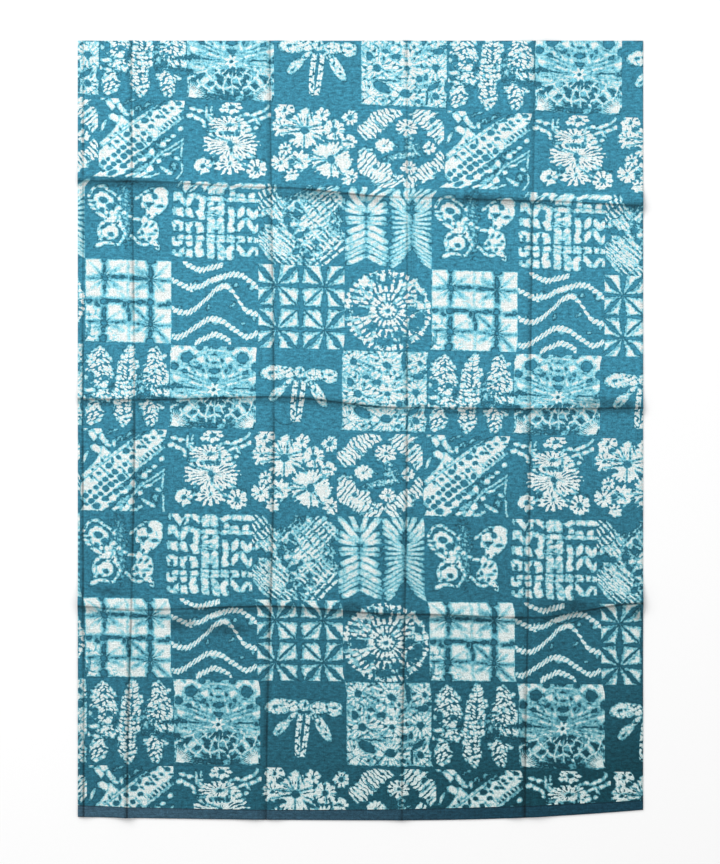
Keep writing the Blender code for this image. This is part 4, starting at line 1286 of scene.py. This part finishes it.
@dataclass(frozen=True)
class DyedCotton:
    """Indigo-green cotton with resist-printed blocks: its colours, weave, slubs, creases with their painted
    shade, and dye depth with painted shade where the light falls off.
    """

    ground: tuple[float, float, float] = (0.047, 0.252, 0.366)
    bleed: tuple[float, float, float] = (0.165, 0.530, 0.660)
    pale: tuple[float, float, float] = (0.370, 0.730, 0.800)
    bare: tuple[float, float, float] = (0.800, 0.850, 0.835)
    # What the dyed and the bare cotton are multiplied by in the near right corner: deeper dye with painted
    # shade for the light's fall-off on the dyed ground, painted shade alone on the bare cotton.
    deep_dye_and_shade: tuple[float, float, float] = (0.135, 0.21, 0.20)
    shaded_bare: tuple[float, float, float] = (0.74, 0.82, 0.82)
    selvedge: tuple[float, float, float] = (0.117, 0.225, 0.318)
    # What the selvedge is multiplied by there: deeper dye with painted shade for the light's fall-off.
    deep_selvedge_and_shade: tuple[float, float, float] = (0.08, 0.24, 0.27)
    rim_depth: float = 0.48
    # Small curved tucks beside the folds, drawn only as painted shade lines: centre, radius, and the
    # directions where each one starts and ends.
    tucks: tuple[tuple[float, float, float, float, float], ...] = (
        (-0.0956, 0.0242, 0.0166, -195.0, -45.0), (0.0765, 0.0146, 0.0178, 50.0, 205.0),
        (0.0790, 0.0090, 0.0140, 80.0, 150.0), (0.2600, -0.2050, 0.0430, -130.0, -40.0),
    )
    # The wider shades beside the folds, in centimetres: centre, half sizes and turn.
    shades: Chart = (
        (-29.6, 31.8, 5.6, 0.5, -4.5), (-4.7, 30.0, 4.2, 0.45, -3), (15.5, 29.8, 5.6, 0.45, -2),
        (35, 28.8, 1.2, 0.6), (-26.6, 3.9, 2.2, 0.35), (-18.5, 3.9, 5.2, 0.3), (-4.8, 3.7, 5, 0.5, -5),
        (14, 2.4, 5.4, 0.3), (31.8, 3.3, 4.4, 0.8, -3), (-32, -20.6, 1.9, 0.4, -8),
        (-22.9, -24.8, 1.6, 1), (-17.3, -25.5, 2.8, 0.7), (-1.1, -22.9, 1.2, 1),
        (20.5, -24.3, 1, 0.7), (26.1, -22.6, 4.1, 0.8, 3), (35.6, -23.3, 0.6, 1.1),
    )
    # How much of the selvedge's colour is left on the painted shadow line along its upper edge and on its
    # streaks.
    hem_shadow_and_streak_tint: float = 0.45
    roughness: float = 0.86
    specular: float = 0.12
    sheen: float = 0.03
    sheen_roughness: float = 0.55
    thread: float = 0.00055
    slub_length: float = 0.022
    slub_width: float = 0.0016
    # How high the bump raises the yarn, its slubs and the soft rumples, and how deep it presses the creases.
    yarn_bump: float = 0.00004
    slub_bump: float = 0.00022
    rumple_bump: float = 0.0022
    crease_bump: float = 0.0009

    def dress(self, name: str, block: Block | None) -> bpy.types.Material:
        """Make the cotton's material with one block's print.

        Args:
            name: the material's name.
            block: the block that is printed, or None for the plain selvedge.

        Returns:
            The material.
        """
        material = bpy.data.materials.new(name)
        material.use_nodes = True
        tree = material.node_tree
        shader = tree.nodes["Principled BSDF"]
        shader.inputs["Specular IOR Level"].default_value = self.specular
        shader.inputs["Sheen Weight"].default_value = self.sheen
        shader.inputs["Sheen Roughness"].default_value = self.sheen_roughness
        cloth = Place(tree.nodes.new("ShaderNodeTexCoord").outputs["Object"])
        # Deeper dye with painted shade for the light's fall-off, towards the near right corner.
        depth_and_shade = self.dye_depth_and_falloff_shade(cloth)
        tone = None
        deep_and_shaded = self.deep_selvedge_and_shade
        local = tree.nodes.new("ShaderNodeUVMap")
        local.uv_map = PRINT_MAP
        printed = Place(local.outputs[0])
        if block is None:
            # The selvedge's streaks of uneven yarn, and a painted shadow line along its upper edge where it
            # meets the print.
            streaks = self.streaks(cloth, 0.12, 0.0022).ramp(0.30, 0.70) * 0.35
            hem_shadow_and_streaks = printed.y.ramp(0.16, 0.04).larger(streaks)
            colour = self.mixed(hem_shadow_and_streaks, self.selvedge, [part * self.hem_shadow_and_streak_tint for part in self.selvedge])
        else:
            tone = block.tone(printed)
            colour = self.printed(tone)
            deep_and_shaded = self.mixed(tone, self.deep_dye_and_shade, self.shaded_bare)
        fade_and_shade = Place(self.mixed(depth_and_shade, WHITE, deep_and_shaded))
        faded_and_shaded = Place(Place(colour).worked("MULTIPLY", fade_and_shade).outputs[0])
        threads = self.threads(cloth)
        # Painted shade on and beside the creases and the tucks.
        marks = self.painted_crease_shade(cloth)
        dyed = 0.8 if tone is None else tone.ramp(0.80, 0.30)
        shaded = faded_and_shaded.worked("SCALE")
        feed(shaded.inputs["Scale"], self.yarn_tone_and_weave_shade(cloth, threads, dyed) * marks)
        feed(shader.inputs["Base Color"], shaded.outputs[0])
        rough = cloth.grain(60.0, 2.0).scaled(0.16, self.roughness - 0.08)
        if tone is not None:
            rough = rough - tone * 0.06
        feed(shader.inputs["Roughness"], rough)
        self.bumped(shader, cloth, threads)
        return material

    def mixed(self, share: Field, low: Colour, high: Colour) -> bpy.types.NodeSocket:
        """Mix two colours.

        Args:
            share: how much of the second colour there is.
            low: the first colour, as numbers or as a socket.
            high: the second colour, as numbers or as a socket.

        Returns:
            The mixed colour's socket.
        """
        node = share.socket.id_data.nodes.new("ShaderNodeMix")
        node.data_type = "RGBA"
        feed(node.inputs[0], share)
        for entry, colour in ((node.inputs[6], low), (node.inputs[7], high)):
            feed(entry, colour if isinstance(colour, bpy.types.NodeSocket) else (*colour, 1.0))
        return node.outputs[2]

    def printed(self, tone: Field) -> bpy.types.NodeSocket:
        """Lay the bleed and the bare cotton over the dyed ground.

        Args:
            tone: the block's tone.

        Returns:
            The print's colour.
        """
        rim = tone.ramp(0.02, 0.14).smaller(tone.ramp(0.40, 0.22))
        ground = self.mixed(rim, self.ground, [part * (1.0 - self.rim_depth) for part in self.ground])
        colour = self.mixed(tone.ramp(0.22, 0.44), ground, self.bleed)
        colour = self.mixed(tone.ramp(0.44, 0.64), colour, self.pale)
        return self.mixed(tone.ramp(0.64, 0.90), colour, self.bare)

    def dye_depth_and_falloff_shade(self, cloth: Place) -> Field:
        """How deep the dye is, together with the painted shade of the light falling off: both deepest
        towards the near edge, and more to the right.

        Args:
            cloth: the place on the whole cloth, in metres.

        Returns:
            Near 0 on the far cloth and about 1 in the near right corner.
        """
        down = cloth.y.ramp(0.10, -0.47)
        right = cloth.x.ramp(-0.36, 0.36).scaled(0.47, 0.61)
        drift = cloth.grain(4.5, 2.0).scaled(0.14, -0.05)
        return (down * right + drift).larger(0.0)

    def threads(self, cloth: Place) -> Field:
        """The weave's threads: a plain over-and-under weave of slightly uneven yarn.

        Args:
            cloth: the place on the whole cloth, in metres.

        Returns:
            The height of the yarn, around 0.
        """
        loose = cloth.stirred(90.0, self.thread * 0.6, 0.0)
        across = loose.x.wave(1.0 / self.thread)
        along = loose.y.wave(1.0 / self.thread)
        return across * along

    def streaks(self, cloth: Place, length: float, width: float, turn: float = 0.0) -> Field:
        """Uneven yarn: noise in soft streaks of this length and width, turned from X by so many degrees."""
        return cloth.around(0.0, 0.0, turn or 0.01, length, width).grain(1.0, 2.0, 0.6)

    def yarn_tone_and_weave_shade(self, cloth: Place, threads: Field, dyed: Number) -> Field:
        """How light the yarn is: fine grain, slubs along the weft and fainter ones along the warp, with a
        faint painted shade of the weave's threads.

        Args:
            cloth: the place on the whole cloth, in metres.
            threads: the weave's threads.
            dyed: how much dye there is, as the yarn shows most where it is dyed.

        Returns:
            A factor around 1.
        """
        slubs = self.streaks(cloth, self.slub_length, self.slub_width).scaled(0.46, 0.77)
        warp = self.streaks(cloth, self.slub_length * 2.5, self.slub_width, 90.0).scaled(0.20, 0.90)
        mottle = (cloth.around(0.0, 0.0, 0.0, 1.7, 0.85).grain(270.0, 1.0) - 0.5) * dyed
        fine = cloth.grain(620.0, 1.0).scaled(0.90, 0.55) * mottle.scaled(1.05, 1.0)
        # The threads' height is added as a faint painted shade of the weave.
        return slubs * warp * fine + threads * 0.03

    def crease_distance(self, cloth: Place, attribute: str) -> Field:
        """How far it is across the nearest crease: 0 on it, and a half either way at the end of its span."""
        node = cloth.socket.id_data.nodes.new("ShaderNodeAttribute")
        node.attribute_name = attribute
        return Field(node.outputs["Fac"]).worked("FRACT") - 0.5

    def painted_crease_shade(self, cloth: Place) -> Field:
        """How much painted shade darkens the cloth on and beside the pressed lines and the tucks.

        Args:
            cloth: the place on the whole cloth, in metres.

        Returns:
            A factor, 1 away from the creases.
        """
        uneven = cloth.grain(22.0, 1.0).ramp(0.28, 0.60).scaled(0.45, 0.55)
        patches = cloth.grain(8.0, 1.0).ramp(0.32, 0.50)
        lower = cloth.y.ramp(0.45, -0.25).scaled(0.45, 0.55)
        level = self.crease_distance(cloth, LEVEL_COUNT)
        upright = self.crease_distance(cloth, UPRIGHT_COUNT)
        # Painted shade: dark lines on the creases and tucks, shade bands beside them, and the wider shades
        # of the chart.
        lines = level.within(0.032, 0.020).larger(upright.within(0.031, 0.021) * lower) * uneven
        shade = level.ramp(-0.26, -0.04).smaller(level.ramp(0.05, 0.0)).smaller(patches)
        beside = upright.ramp(-0.16, -0.02).smaller(upright.ramp(0.04, 0.0)).smaller(patches) * lower
        lines = lines.larger(self.tuck_shade_lines(cloth) * 0.8)
        broken = cloth.grain(60.0, 2.0).ramp(0.20, 0.55).scaled(0.5, 0.5)
        wide = Stencil(cloth).dabs(self.shades, 0.0075) * broken
        return lines.scaled(-0.56, 1.0) * shade.larger(beside * 0.7).larger(wide).scaled(-0.50, 1.0)

    def tuck_shade_lines(self, cloth: Place) -> Field:
        """The painted shade lines of the thin curved tucks.

        Args:
            cloth: the place on the whole cloth, in metres.

        Returns:
            1 on a tuck and 0 elsewhere.
        """
        lines = []
        for x, y, radius, start, end in self.tucks:
            reach = (end - start) / 720.0
            local = cloth.around(x, y, (start + end) / 2.0)
            line = (local.distance() - radius).within(0.0010, 0.0006)
            lines.append(line.smaller(local.turns().size().ramp(reach + 0.03, reach - 0.06)))
        return largest(lines)

    def bumped(self, shader: bpy.types.ShaderNode, cloth: Place, threads: Field) -> None:
        """Raise the weave, its slubs, the pressed lines and small rumples with bump.

        Args:
            shader: the shader that takes the bump.
            cloth: the place on the whole cloth, in metres.
            threads: the weave's threads.
        """
        slubs = self.streaks(cloth, self.slub_length, self.slub_width)
        rumple = cloth.grain(34.0, 3.0, 0.62)
        upright = self.crease_distance(cloth, UPRIGHT_COUNT).within(0.05, 0.05)
        level = self.crease_distance(cloth, LEVEL_COUNT).within(0.05, 0.05)
        height = threads * self.yarn_bump + slubs * self.slub_bump + rumple * self.rumple_bump
        height = height - (upright + level) * self.crease_bump
        node = shader.id_data.nodes.new("ShaderNodeBump")
        node.inputs["Strength"].default_value = 1.0
        node.inputs["Distance"].default_value = 1.0
        feed(node.inputs["Height"], height)
        feed(shader.inputs["Normal"], node.outputs["Normal"])


def eased(share: float) -> float:
    """A soft step from 0 to 1."""
    share = min(max(share, 0.0), 1.0)
    return share * share * (3.0 - 2.0 * share)


def straight(low: float, high: float, share: float) -> float:
    """The number at a share of the way from one to another."""
    return low + (high - low) * share


def placed(name: str, shape: bmesh.types.BMesh) -> bpy.types.Object:
    """Turn a finished shape into an object of the scene.

    Args:
        name: the object's and its mesh's name.
        shape: the shape, which is freed.

    Returns:
        The object.
    """
    mesh = bpy.data.meshes.new(name)
    shape.to_mesh(mesh)
    shape.free()
    thing = bpy.data.objects.new(name, mesh)
    bpy.context.collection.objects.link(thing)
    return thing


@dataclass(frozen=True)
class Crease:
    """A line where the cloth was pressed: its stations, and the small ridge or trough along it.

    The stations pair a place along the line with its place across, both in
    metres. The height is of the line's own sharp lip, over the solid's fold.
    """

    stations: tuple[tuple[float, float], ...]
    height: float = 0.0
    reach: float = 0.008

    def across(self, along: float) -> float:
        """Where the line is.

        Args:
            along: the place along it.

        Returns:
            Its place across.
        """
        before = self.stations[0]
        for station in self.stations:
            if along < station[0]:
                share = eased((along - before[0]) / max(station[0] - before[0], 1e-6))
                return straight(before[1], station[1], share)
            before = station
        return before[1]

    def count(self, along: float, across: float) -> float:
        """This line's share of the crease count: 0 before it, a half on it and 1 past it."""
        return min(max((across - self.across(along)) / CREASE_SPAN + 0.5, 0.0), 1.0)

    def lift(self, along: float, across: float) -> float:
        """The height of this line's lip at a place."""
        share = abs(across - self.across(along)) / self.reach
        return self.height * (1.0 - eased(share))


@dataclass(frozen=True)
class PrintRow:
    """One row of blocks: its upper edge at the cloth's left and right, and where its blocks start."""

    motifs: int
    top_left: float
    top_right: float
    start: float
    pitch: float


@dataclass
class SariCloth:
    """The printed cloth: one thin sheet on the folds of its solid."""

    node: str = "sari_cloth"
    thickness: float = 0.0004
    solid_thickness: float = 0.0012
    edge_inset: float = 0.0008
    # The cloth's mean height over its folds, so that the soft rumples stay above the floor.
    clearance: float = 0.0004
    soft_rounds: int = 3
    full_blocks: int = 6
    # A block's height as a share of its width.
    block_squash: float = 0.97
    cells: int = 26
    sliver_cells: int = 4
    last_cells: int = 11
    band_cells: int = 5
    selvedge_left: float = -0.4805
    selvedge_middle: float = -0.4862
    selvedge_right: float = -0.4741
    lowest_x: float = 0.053
    rise_left: float = 0.0045
    rise_right: float = 0.0135
    # The scale and the shift along X of the laid face and of the underside on the bake map, and its margin.
    top_map: tuple[float, float] = (0.994, 0.003)
    under_map: tuple[float, float] = (0.26, 0.731)
    map_margin: float = 0.003
    print_rows: tuple[PrintRow, ...] = (
        PrintRow(8, 0.5115, 0.5300, -0.3342, 0.1116),
        PrintRow(12, 0.4279, 0.4009, -0.3368, 0.1110),
        PrintRow(0, 0.3240, 0.3009, -0.3535, 0.1112),
        PrintRow(4, 0.2213, 0.1982, -0.3535, 0.1110),
        PrintRow(8, 0.1123, 0.0943, -0.3548, 0.1103),
        PrintRow(12, 0.0032, -0.0109, -0.3599, 0.1099),
        PrintRow(0, -0.1046, -0.1161, -0.3599, 0.1105),
        PrintRow(4, -0.2136, -0.2226, -0.3535, 0.1103),
        PrintRow(8, -0.3175, -0.3265, -0.3496, 0.1105),
        PrintRow(12, -0.4292, -0.4381, -0.3509, 0.1120),
    )
    upright_creases: tuple[Crease, ...] = (
        Crease(((-0.5, -0.3548), (0.0, -0.3560), (0.5, -0.3552)), 0.0004, 0.004),
        Crease(((-0.5, -0.2990), (0.0, -0.2897), (0.5, -0.2935)), 0.0010, 0.007),
        Crease(((-0.5, -0.1212), (0.0, -0.1110), (0.5, -0.1161)), -0.0005, 0.006),
        Crease(((-0.5, 0.0532), (0.0, 0.0597), (0.5, 0.0597)), 0.0008, 0.006),
        Crease(((-0.5, 0.2111), (0.0, 0.2175), (0.5, 0.2232)), -0.0005, 0.006),
    )
    level_creases: tuple[Crease, ...] = (
        Crease(((-0.3625, -0.2252), (-0.294, -0.2303), (-0.116, -0.2252), (0.056, -0.2354), (0.215, -0.2400),
                (0.3625, -0.2213)), 0.0006, 0.007),
        Crease(((-0.3625, 0.0404), (-0.290, 0.0391), (-0.111, 0.0430), (0.060, 0.0289), (0.218, 0.0276),
                (0.3625, 0.0289)), 0.0008, 0.006),
        Crease(((-0.3625, 0.3201), (-0.292, 0.3188), (-0.113, 0.3111), (0.060, 0.2983), (0.219, 0.2944),
                (0.3625, 0.2880)), 0.0008, 0.007),
    )

    def build(self, finish: DyedCotton) -> bpy.types.Object:
        """Make the cloth and dress it.

        Args:
            finish: the cotton's finish.

        Returns:
            The cloth.
        """
        self.low, self.high = (Vector(corner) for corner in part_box(self.node))
        self.tree = self.solid_tree()
        columns = self.column_shares()
        rows = self.row_shares()
        shape = bmesh.new()
        bmesh.ops.create_grid(shape, x_segments=len(columns) - 1, y_segments=len(rows) - 1, size=0.5)
        shape.verts.layers.float.new(UPRIGHT_COUNT)
        shape.verts.layers.float.new(LEVEL_COUNT)
        grid = self.place_vertices(shape, columns, rows)
        self.mark_creases(shape)
        self.lay_print(shape, grid, columns, rows)
        self.thicken(shape)
        cloth = placed("printed_cloth", shape)
        for motif in Motif:
            cloth.data.materials.append(finish.dress("cotton_" + motif.name.lower(), motif.value))
        for polygon in cloth.data.polygons:
            polygon.use_smooth = True
        return cloth

    def solid_tree(self) -> BVHTree:
        """The solid's surface, to measure its folds on."""
        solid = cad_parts[self.node]
        shape = bmesh.new()
        shape.from_mesh(solid.data)
        tree = BVHTree.FromBMesh(shape)
        shape.free()
        return tree

    def column_shares(self) -> list[float]:
        """The grid's columns, as numbers of blocks from the first full block; below 0 is the sliver."""
        sliver = [-1.0 + step / self.sliver_cells for step in range(self.sliver_cells)]
        full = [step / self.cells for step in range(self.full_blocks * self.cells)]
        last = [self.full_blocks + step / self.last_cells for step in range(self.last_cells + 1)]
        return sliver + full + last

    def row_shares(self) -> list[float]:
        """The grid's rows, from the selvedge's edge upwards, as numbers of rows from the top."""
        count = len(self.print_rows)
        band = [count + 1.0 - step / self.band_cells for step in range(self.band_cells)]
        near = [count - step / (self.cells // 2) for step in range(self.cells // 2)]
        middle = [count - 1.0 - step / self.cells for step in range((count - 2) * self.cells)]
        far_cells = int(self.cells * 0.8)
        far = [1.0 - step / far_cells for step in range(far_cells + 1)]
        return band + near + middle + far

    def selvedge_edge(self, x: float) -> float:
        """The cloth's lower edge, which bows down in the middle."""
        reach = x - self.lowest_x
        end = self.low.x if reach < 0.0 else self.high.x
        rise = self.rise_left if reach < 0.0 else self.rise_right
        return self.low.y + rise * (reach / (end - self.lowest_x)) ** 2

    def selvedge_top(self, x: float) -> float:
        """Where the print meets the selvedge's plain band."""
        share = (x - self.low.x) / (self.high.x - self.low.x)
        bow = 4.0 * share * (1.0 - share)
        ends = straight(self.selvedge_left, self.selvedge_right, share)
        middle = straight(self.selvedge_left, self.selvedge_right, 0.5)
        return ends + (self.selvedge_middle - middle) * bow

    def line_y(self, index: int, x: float) -> float:
        """The upper edge of a row of blocks, where the first and last follow the cloth's own edges."""
        if index == 0:
            return self.high.y
        if index > len(self.print_rows):
            return self.selvedge_edge(x)
        if index == len(self.print_rows):
            return self.selvedge_top(x)
        row = self.print_rows[index]
        return straight(row.top_left, row.top_right, (x - self.low.x) / (self.high.x - self.low.x))

    def block_edge(self, column: float, row: float) -> float:
        """Where a column of the grid is: blocks keep their row's own start and pitch.

        Args:
            column: the column, in blocks.
            row: the row, from the top.

        Returns:
            Its X.
        """
        last = len(self.print_rows) - 1
        index = min(int(row), last)
        part = min(row - index, 1.0)
        here = self.print_rows[index]
        other = self.print_rows[min(max(index + (1 if part > 0.5 else -1), 0), last)]
        blur = 0.5 * (1.0 - eased(min(part, 1.0 - part) / 0.12)) if row < last + 1 else 0.0
        start = straight(here.start, other.start, blur)
        pitch = straight(here.pitch, other.pitch, blur)
        if column < 0.0:
            return straight(self.low.x, start, column + 1.0)
        if column > self.full_blocks:
            return straight(start + self.full_blocks * pitch, self.high.x, column - self.full_blocks)
        return start + column * pitch

    def place_vertices(self, shape: bmesh.types.BMesh, columns: list[float],
                       rows: list[float]) -> list[list[bmesh.types.BMVert]]:
        """Move the grid's vertices onto the print's lines and the solid's folds.

        Args:
            shape: the grid.
            columns: its columns, in blocks.
            rows: its rows, in rows of blocks.

        Returns:
            The vertices, row by row from the selvedge's edge.
        """
        order = sorted(shape.verts, key=lambda vertex: (round(vertex.co.y, 6), round(vertex.co.x, 6)))
        wide = len(columns)
        grid = [order[step:step + wide] for step in range(0, len(order), wide)]
        for row, line in zip(rows, grid):
            index = min(int(row), len(self.print_rows))
            for column, vertex in zip(columns, line):
                x = self.block_edge(column, row)
                y = straight(self.line_y(index, x), self.line_y(index + 1, x), row - index)
                vertex.co = Vector((x, y, 0.0))
        heights = [[self.fold_height(vertex.co.x, vertex.co.y) for vertex in line] for line in grid]
        for _ in range(self.soft_rounds):
            heights = self.softened(heights)
        for line, measured in zip(grid, heights):
            for vertex, height in zip(line, measured):
                vertex.co.z = max(height + self.small_relief(vertex.co.x, vertex.co.y), 0.0)
        return grid

    def fold_height(self, x: float, y: float) -> float:
        """The height of the solid's upper side over its thickness."""
        inset = self.edge_inset
        place_x = min(max(x, self.low.x + inset), self.high.x - inset)
        place_y = min(max(y, self.selvedge_edge(x) + inset), self.high.y - inset)
        hit = self.tree.ray_cast(Vector((place_x, place_y, 1.0)), Vector((0.0, 0.0, -1.0)))[0]
        return max(hit.z - self.solid_thickness, 0.0) if hit else 0.0

    def softened(self, heights: list[list[float]]) -> list[list[float]]:
        """Round off the solid's flat facets: each height moves towards its neighbours'.

        Args:
            heights: the heights, row by row.

        Returns:
            The softened heights.
        """
        soft = []
        last_row = len(heights) - 1
        for index, line in enumerate(heights):
            below = heights[max(index - 1, 0)]
            above = heights[min(index + 1, last_row)]
            last = len(line) - 1
            soft.append([
                0.4 * line[step] + 0.15 * (below[step] + above[step]
                                           + line[max(step - 1, 0)] + line[min(step + 1, last)])
                for step in range(len(line))])
        return soft

    def small_relief(self, x: float, y: float) -> float:
        """The lips of the pressed lines and the soft rumples between them.

        Args:
            x: the place's X.
            y: the place's Y.

        Returns:
            The added height.
        """
        lip = sum(crease.lift(y, x) for crease in self.upright_creases)
        lip += sum(crease.lift(x, y) for crease in self.level_creases)
        rumple = noise.noise(Vector((x * 13.0, y * 13.0, 4.0))) * 0.0005
        rumple += noise.noise(Vector((x * 31.0, y * 31.0, 9.0))) * 0.00018
        return lip + rumple + self.clearance

    def mark_creases(self, shape: bmesh.types.BMesh) -> None:
        """Count the pressed lines before each vertex, for the finish to find them by."""
        upright = shape.verts.layers.float[UPRIGHT_COUNT]
        level = shape.verts.layers.float[LEVEL_COUNT]
        for vertex in shape.verts:
            x, y, _ = vertex.co
            vertex[upright] = sum(crease.count(y, x) for crease in self.upright_creases)
            vertex[level] = sum(crease.count(x, y) for crease in self.level_creases)

    def lay_print(self, shape: bmesh.types.BMesh, grid: list[list[bmesh.types.BMVert]], columns: list[float],
                  rows: list[float]) -> None:
        """Give each face its block and its place on that block.

        Args:
            shape: the grid.
            grid: its vertices, row by row.
            columns: the grid's columns, in blocks.
            rows: the grid's rows, in rows of blocks.
        """
        layer = shape.loops.layers.uv.new(PRINT_MAP)
        marks = {}
        for row, line in zip(rows, grid):
            for column, vertex in zip(columns, line):
                marks[vertex] = (column, row)
        count = len(self.print_rows)
        for face in shape.faces:
            column = int(math.floor(sum(marks[vertex][0] for vertex in face.verts) / 4))
            row = int(math.floor(sum(marks[vertex][1] for vertex in face.verts) / 4))
            if row >= count:
                face.material_index = SELVEDGE_INDEX
                for loop in face.loops:
                    loop[layer].uv = (marks[loop.vert][0], marks[loop.vert][1] - count)
                continue
            face.material_index = self.print_rows[row].motifs + column % REPEAT_COLUMNS
            for loop in face.loops:
                at_column, at_row = marks[loop.vert]
                loop[layer].uv = self.block_place(loop.vert.co, at_column, at_row, column, row)

    def block_place(self, place: Vector, at_column: float, at_row: float, column: int,
                    row: int) -> tuple[float, float]:
        """Where a vertex is on a block.

        Args:
            place: the vertex.
            at_column: its column.
            at_row: its row.
            column: the block's column.
            row: the block's row.

        Returns:
            Its place on the block, from 0 to 1 each way.
        """
        across = at_column - column
        here = self.print_rows[row]
        if column < 0:
            width = self.block_edge(0.0, row + 0.5) - self.low.x
            across = 1.0 - (1.0 - across) * width / here.pitch
        if column >= self.full_blocks:
            width = self.high.x - self.block_edge(self.full_blocks, row + 0.5)
            across = across * width / here.pitch
        down = at_row - row
        block = here.pitch * self.block_squash
        if row == 0:
            return (across, (place.y - self.line_y(1, place.x)) / block)
        if row == len(self.print_rows) - 1:
            return (across, 1.0 - down * (self.line_y(row, place.x) - self.line_y(row + 1, place.x)) / block)
        return (across, 1.0 - down)

    def thicken(self, shape: bmesh.types.BMesh) -> None:
        """Give the cloth its thickness and lay out the map that its texture is baked on.

        Args:
            shape: the cloth's one layer, which becomes the underside.
        """
        under = list(shape.faces)
        bmesh.ops.reverse_faces(shape, faces=under)
        raised = bmesh.ops.extrude_face_region(shape, geom=under, use_keep_orig=True)["geom"]
        upper = [entry for entry in raised if isinstance(entry, bmesh.types.BMFace)]
        for vertex in {vertex for face in upper for vertex in face.verts}:
            vertex.co.z += self.thickness
        bmesh.ops.recalc_face_normals(shape, faces=list(shape.faces))
        layer = shape.loops.layers.uv.new(BAKE_MAP)
        upper_faces = set(upper)
        for face in shape.faces:
            scale, shift = self.top_map if face in upper_faces else self.under_map
            for loop in face.loops:
                x = (loop.vert.co.x - self.low.x) * scale + shift
                y = (loop.vert.co.y - self.low.y) * scale + self.map_margin
                loop[layer].uv = (x, y)


@dataclass(frozen=True)
class FloorPaint:
    """The floor's plain pale paint."""

    grey: float = 0.93
    roughness: float = 0.9

    def dress(self) -> bpy.types.Material:
        """Make the paint's material."""
        material = bpy.data.materials.new("pale_floor")
        material.use_nodes = True
        shader = material.node_tree.nodes["Principled BSDF"]
        shader.inputs["Base Color"].default_value = (self.grey, self.grey, self.grey, 1.0)
        shader.inputs["Roughness"].default_value = self.roughness
        return material


class SoftLight(NamedTuple):
    """A large square light that points at the middle of the cloth."""

    name: str
    place: tuple[float, float, float]
    width: float
    power: float


@dataclass
class Studio:
    """The plain floor, the soft lights and the camera straight above."""

    floor_size: float = 6.0
    floor_drop: float = 0.0004
    lights: tuple[SoftLight, ...] = (
        SoftLight("key_light", (-1.4, 1.6, 2.2), 2.6, 62.0),
        SoftLight("fill_light", (1.6, -0.6, 2.6), 2.2, 14.0),
    )
    sky_strength: float = 0.62
    camera_height: float = 4.0
    frame_height: float = 1.1085
    film_height: float = 24.0
    centre: tuple[float, float] = (-0.0006, -0.0019)

    def build(self) -> None:
        """Set the scene up."""
        self.lay_floor()
        self.hang_lights()
        self.set_camera()

    def lay_floor(self) -> None:
        """Lay the pale floor just under the cloth."""
        shape = bmesh.new()
        bmesh.ops.create_grid(shape, x_segments=1, y_segments=1, size=self.floor_size / 2)
        bmesh.ops.translate(shape, verts=shape.verts, vec=(0.0, 0.0, -self.floor_drop))
        floor = placed("studio_floor", shape)
        floor.data.materials.append(FloorPaint().dress())

    def hang_lights(self) -> None:
        """Hang the key light far up on the left and a weak one on the right, under a pale sky."""
        for entry in self.lights:
            light = bpy.data.lights.new(entry.name, "AREA")
            light.size = entry.width
            light.energy = entry.power
            lamp = bpy.data.objects.new(entry.name, light)
            lamp.location = entry.place
            lamp.rotation_euler = (-Vector(entry.place)).to_track_quat("-Z", "Y").to_euler()
            bpy.context.collection.objects.link(lamp)
        world = bpy.data.worlds.new("studio_sky")
        world.use_nodes = True
        sky = world.node_tree.nodes["Background"]
        sky.inputs["Color"].default_value = (*WHITE, 1.0)
        sky.inputs["Strength"].default_value = self.sky_strength
        bpy.context.scene.world = world

    def set_camera(self) -> None:
        """Look straight down, with the cloth's far end at the top."""
        data = bpy.data.cameras.new("camera")
        data.type = "PERSP"
        data.sensor_fit = "VERTICAL"
        data.sensor_height = self.film_height
        data.lens = self.film_height * self.camera_height / self.frame_height
        camera = bpy.data.objects.new("camera", data)
        camera.location = (*self.centre, self.camera_height)
        bpy.context.collection.objects.link(camera)
        bpy.context.scene.camera = camera
        bpy.context.scene.view_settings.view_transform = "Standard"


def main() -> None:
    """Build the cloth and its studio."""
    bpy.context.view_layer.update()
    sari = SariCloth()
    cloth = sari.build(DyedCotton())
    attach(cloth, "root")
    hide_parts(sari.node)
    LOG.info("built %s with %d faces", cloth.name, len(cloth.data.polygons))
    studio = Studio()
    studio.build()
    LOG.info("set up the studio")


if __name__ == "__main__":
    logging.basicConfig(level=logging.INFO)
    main()
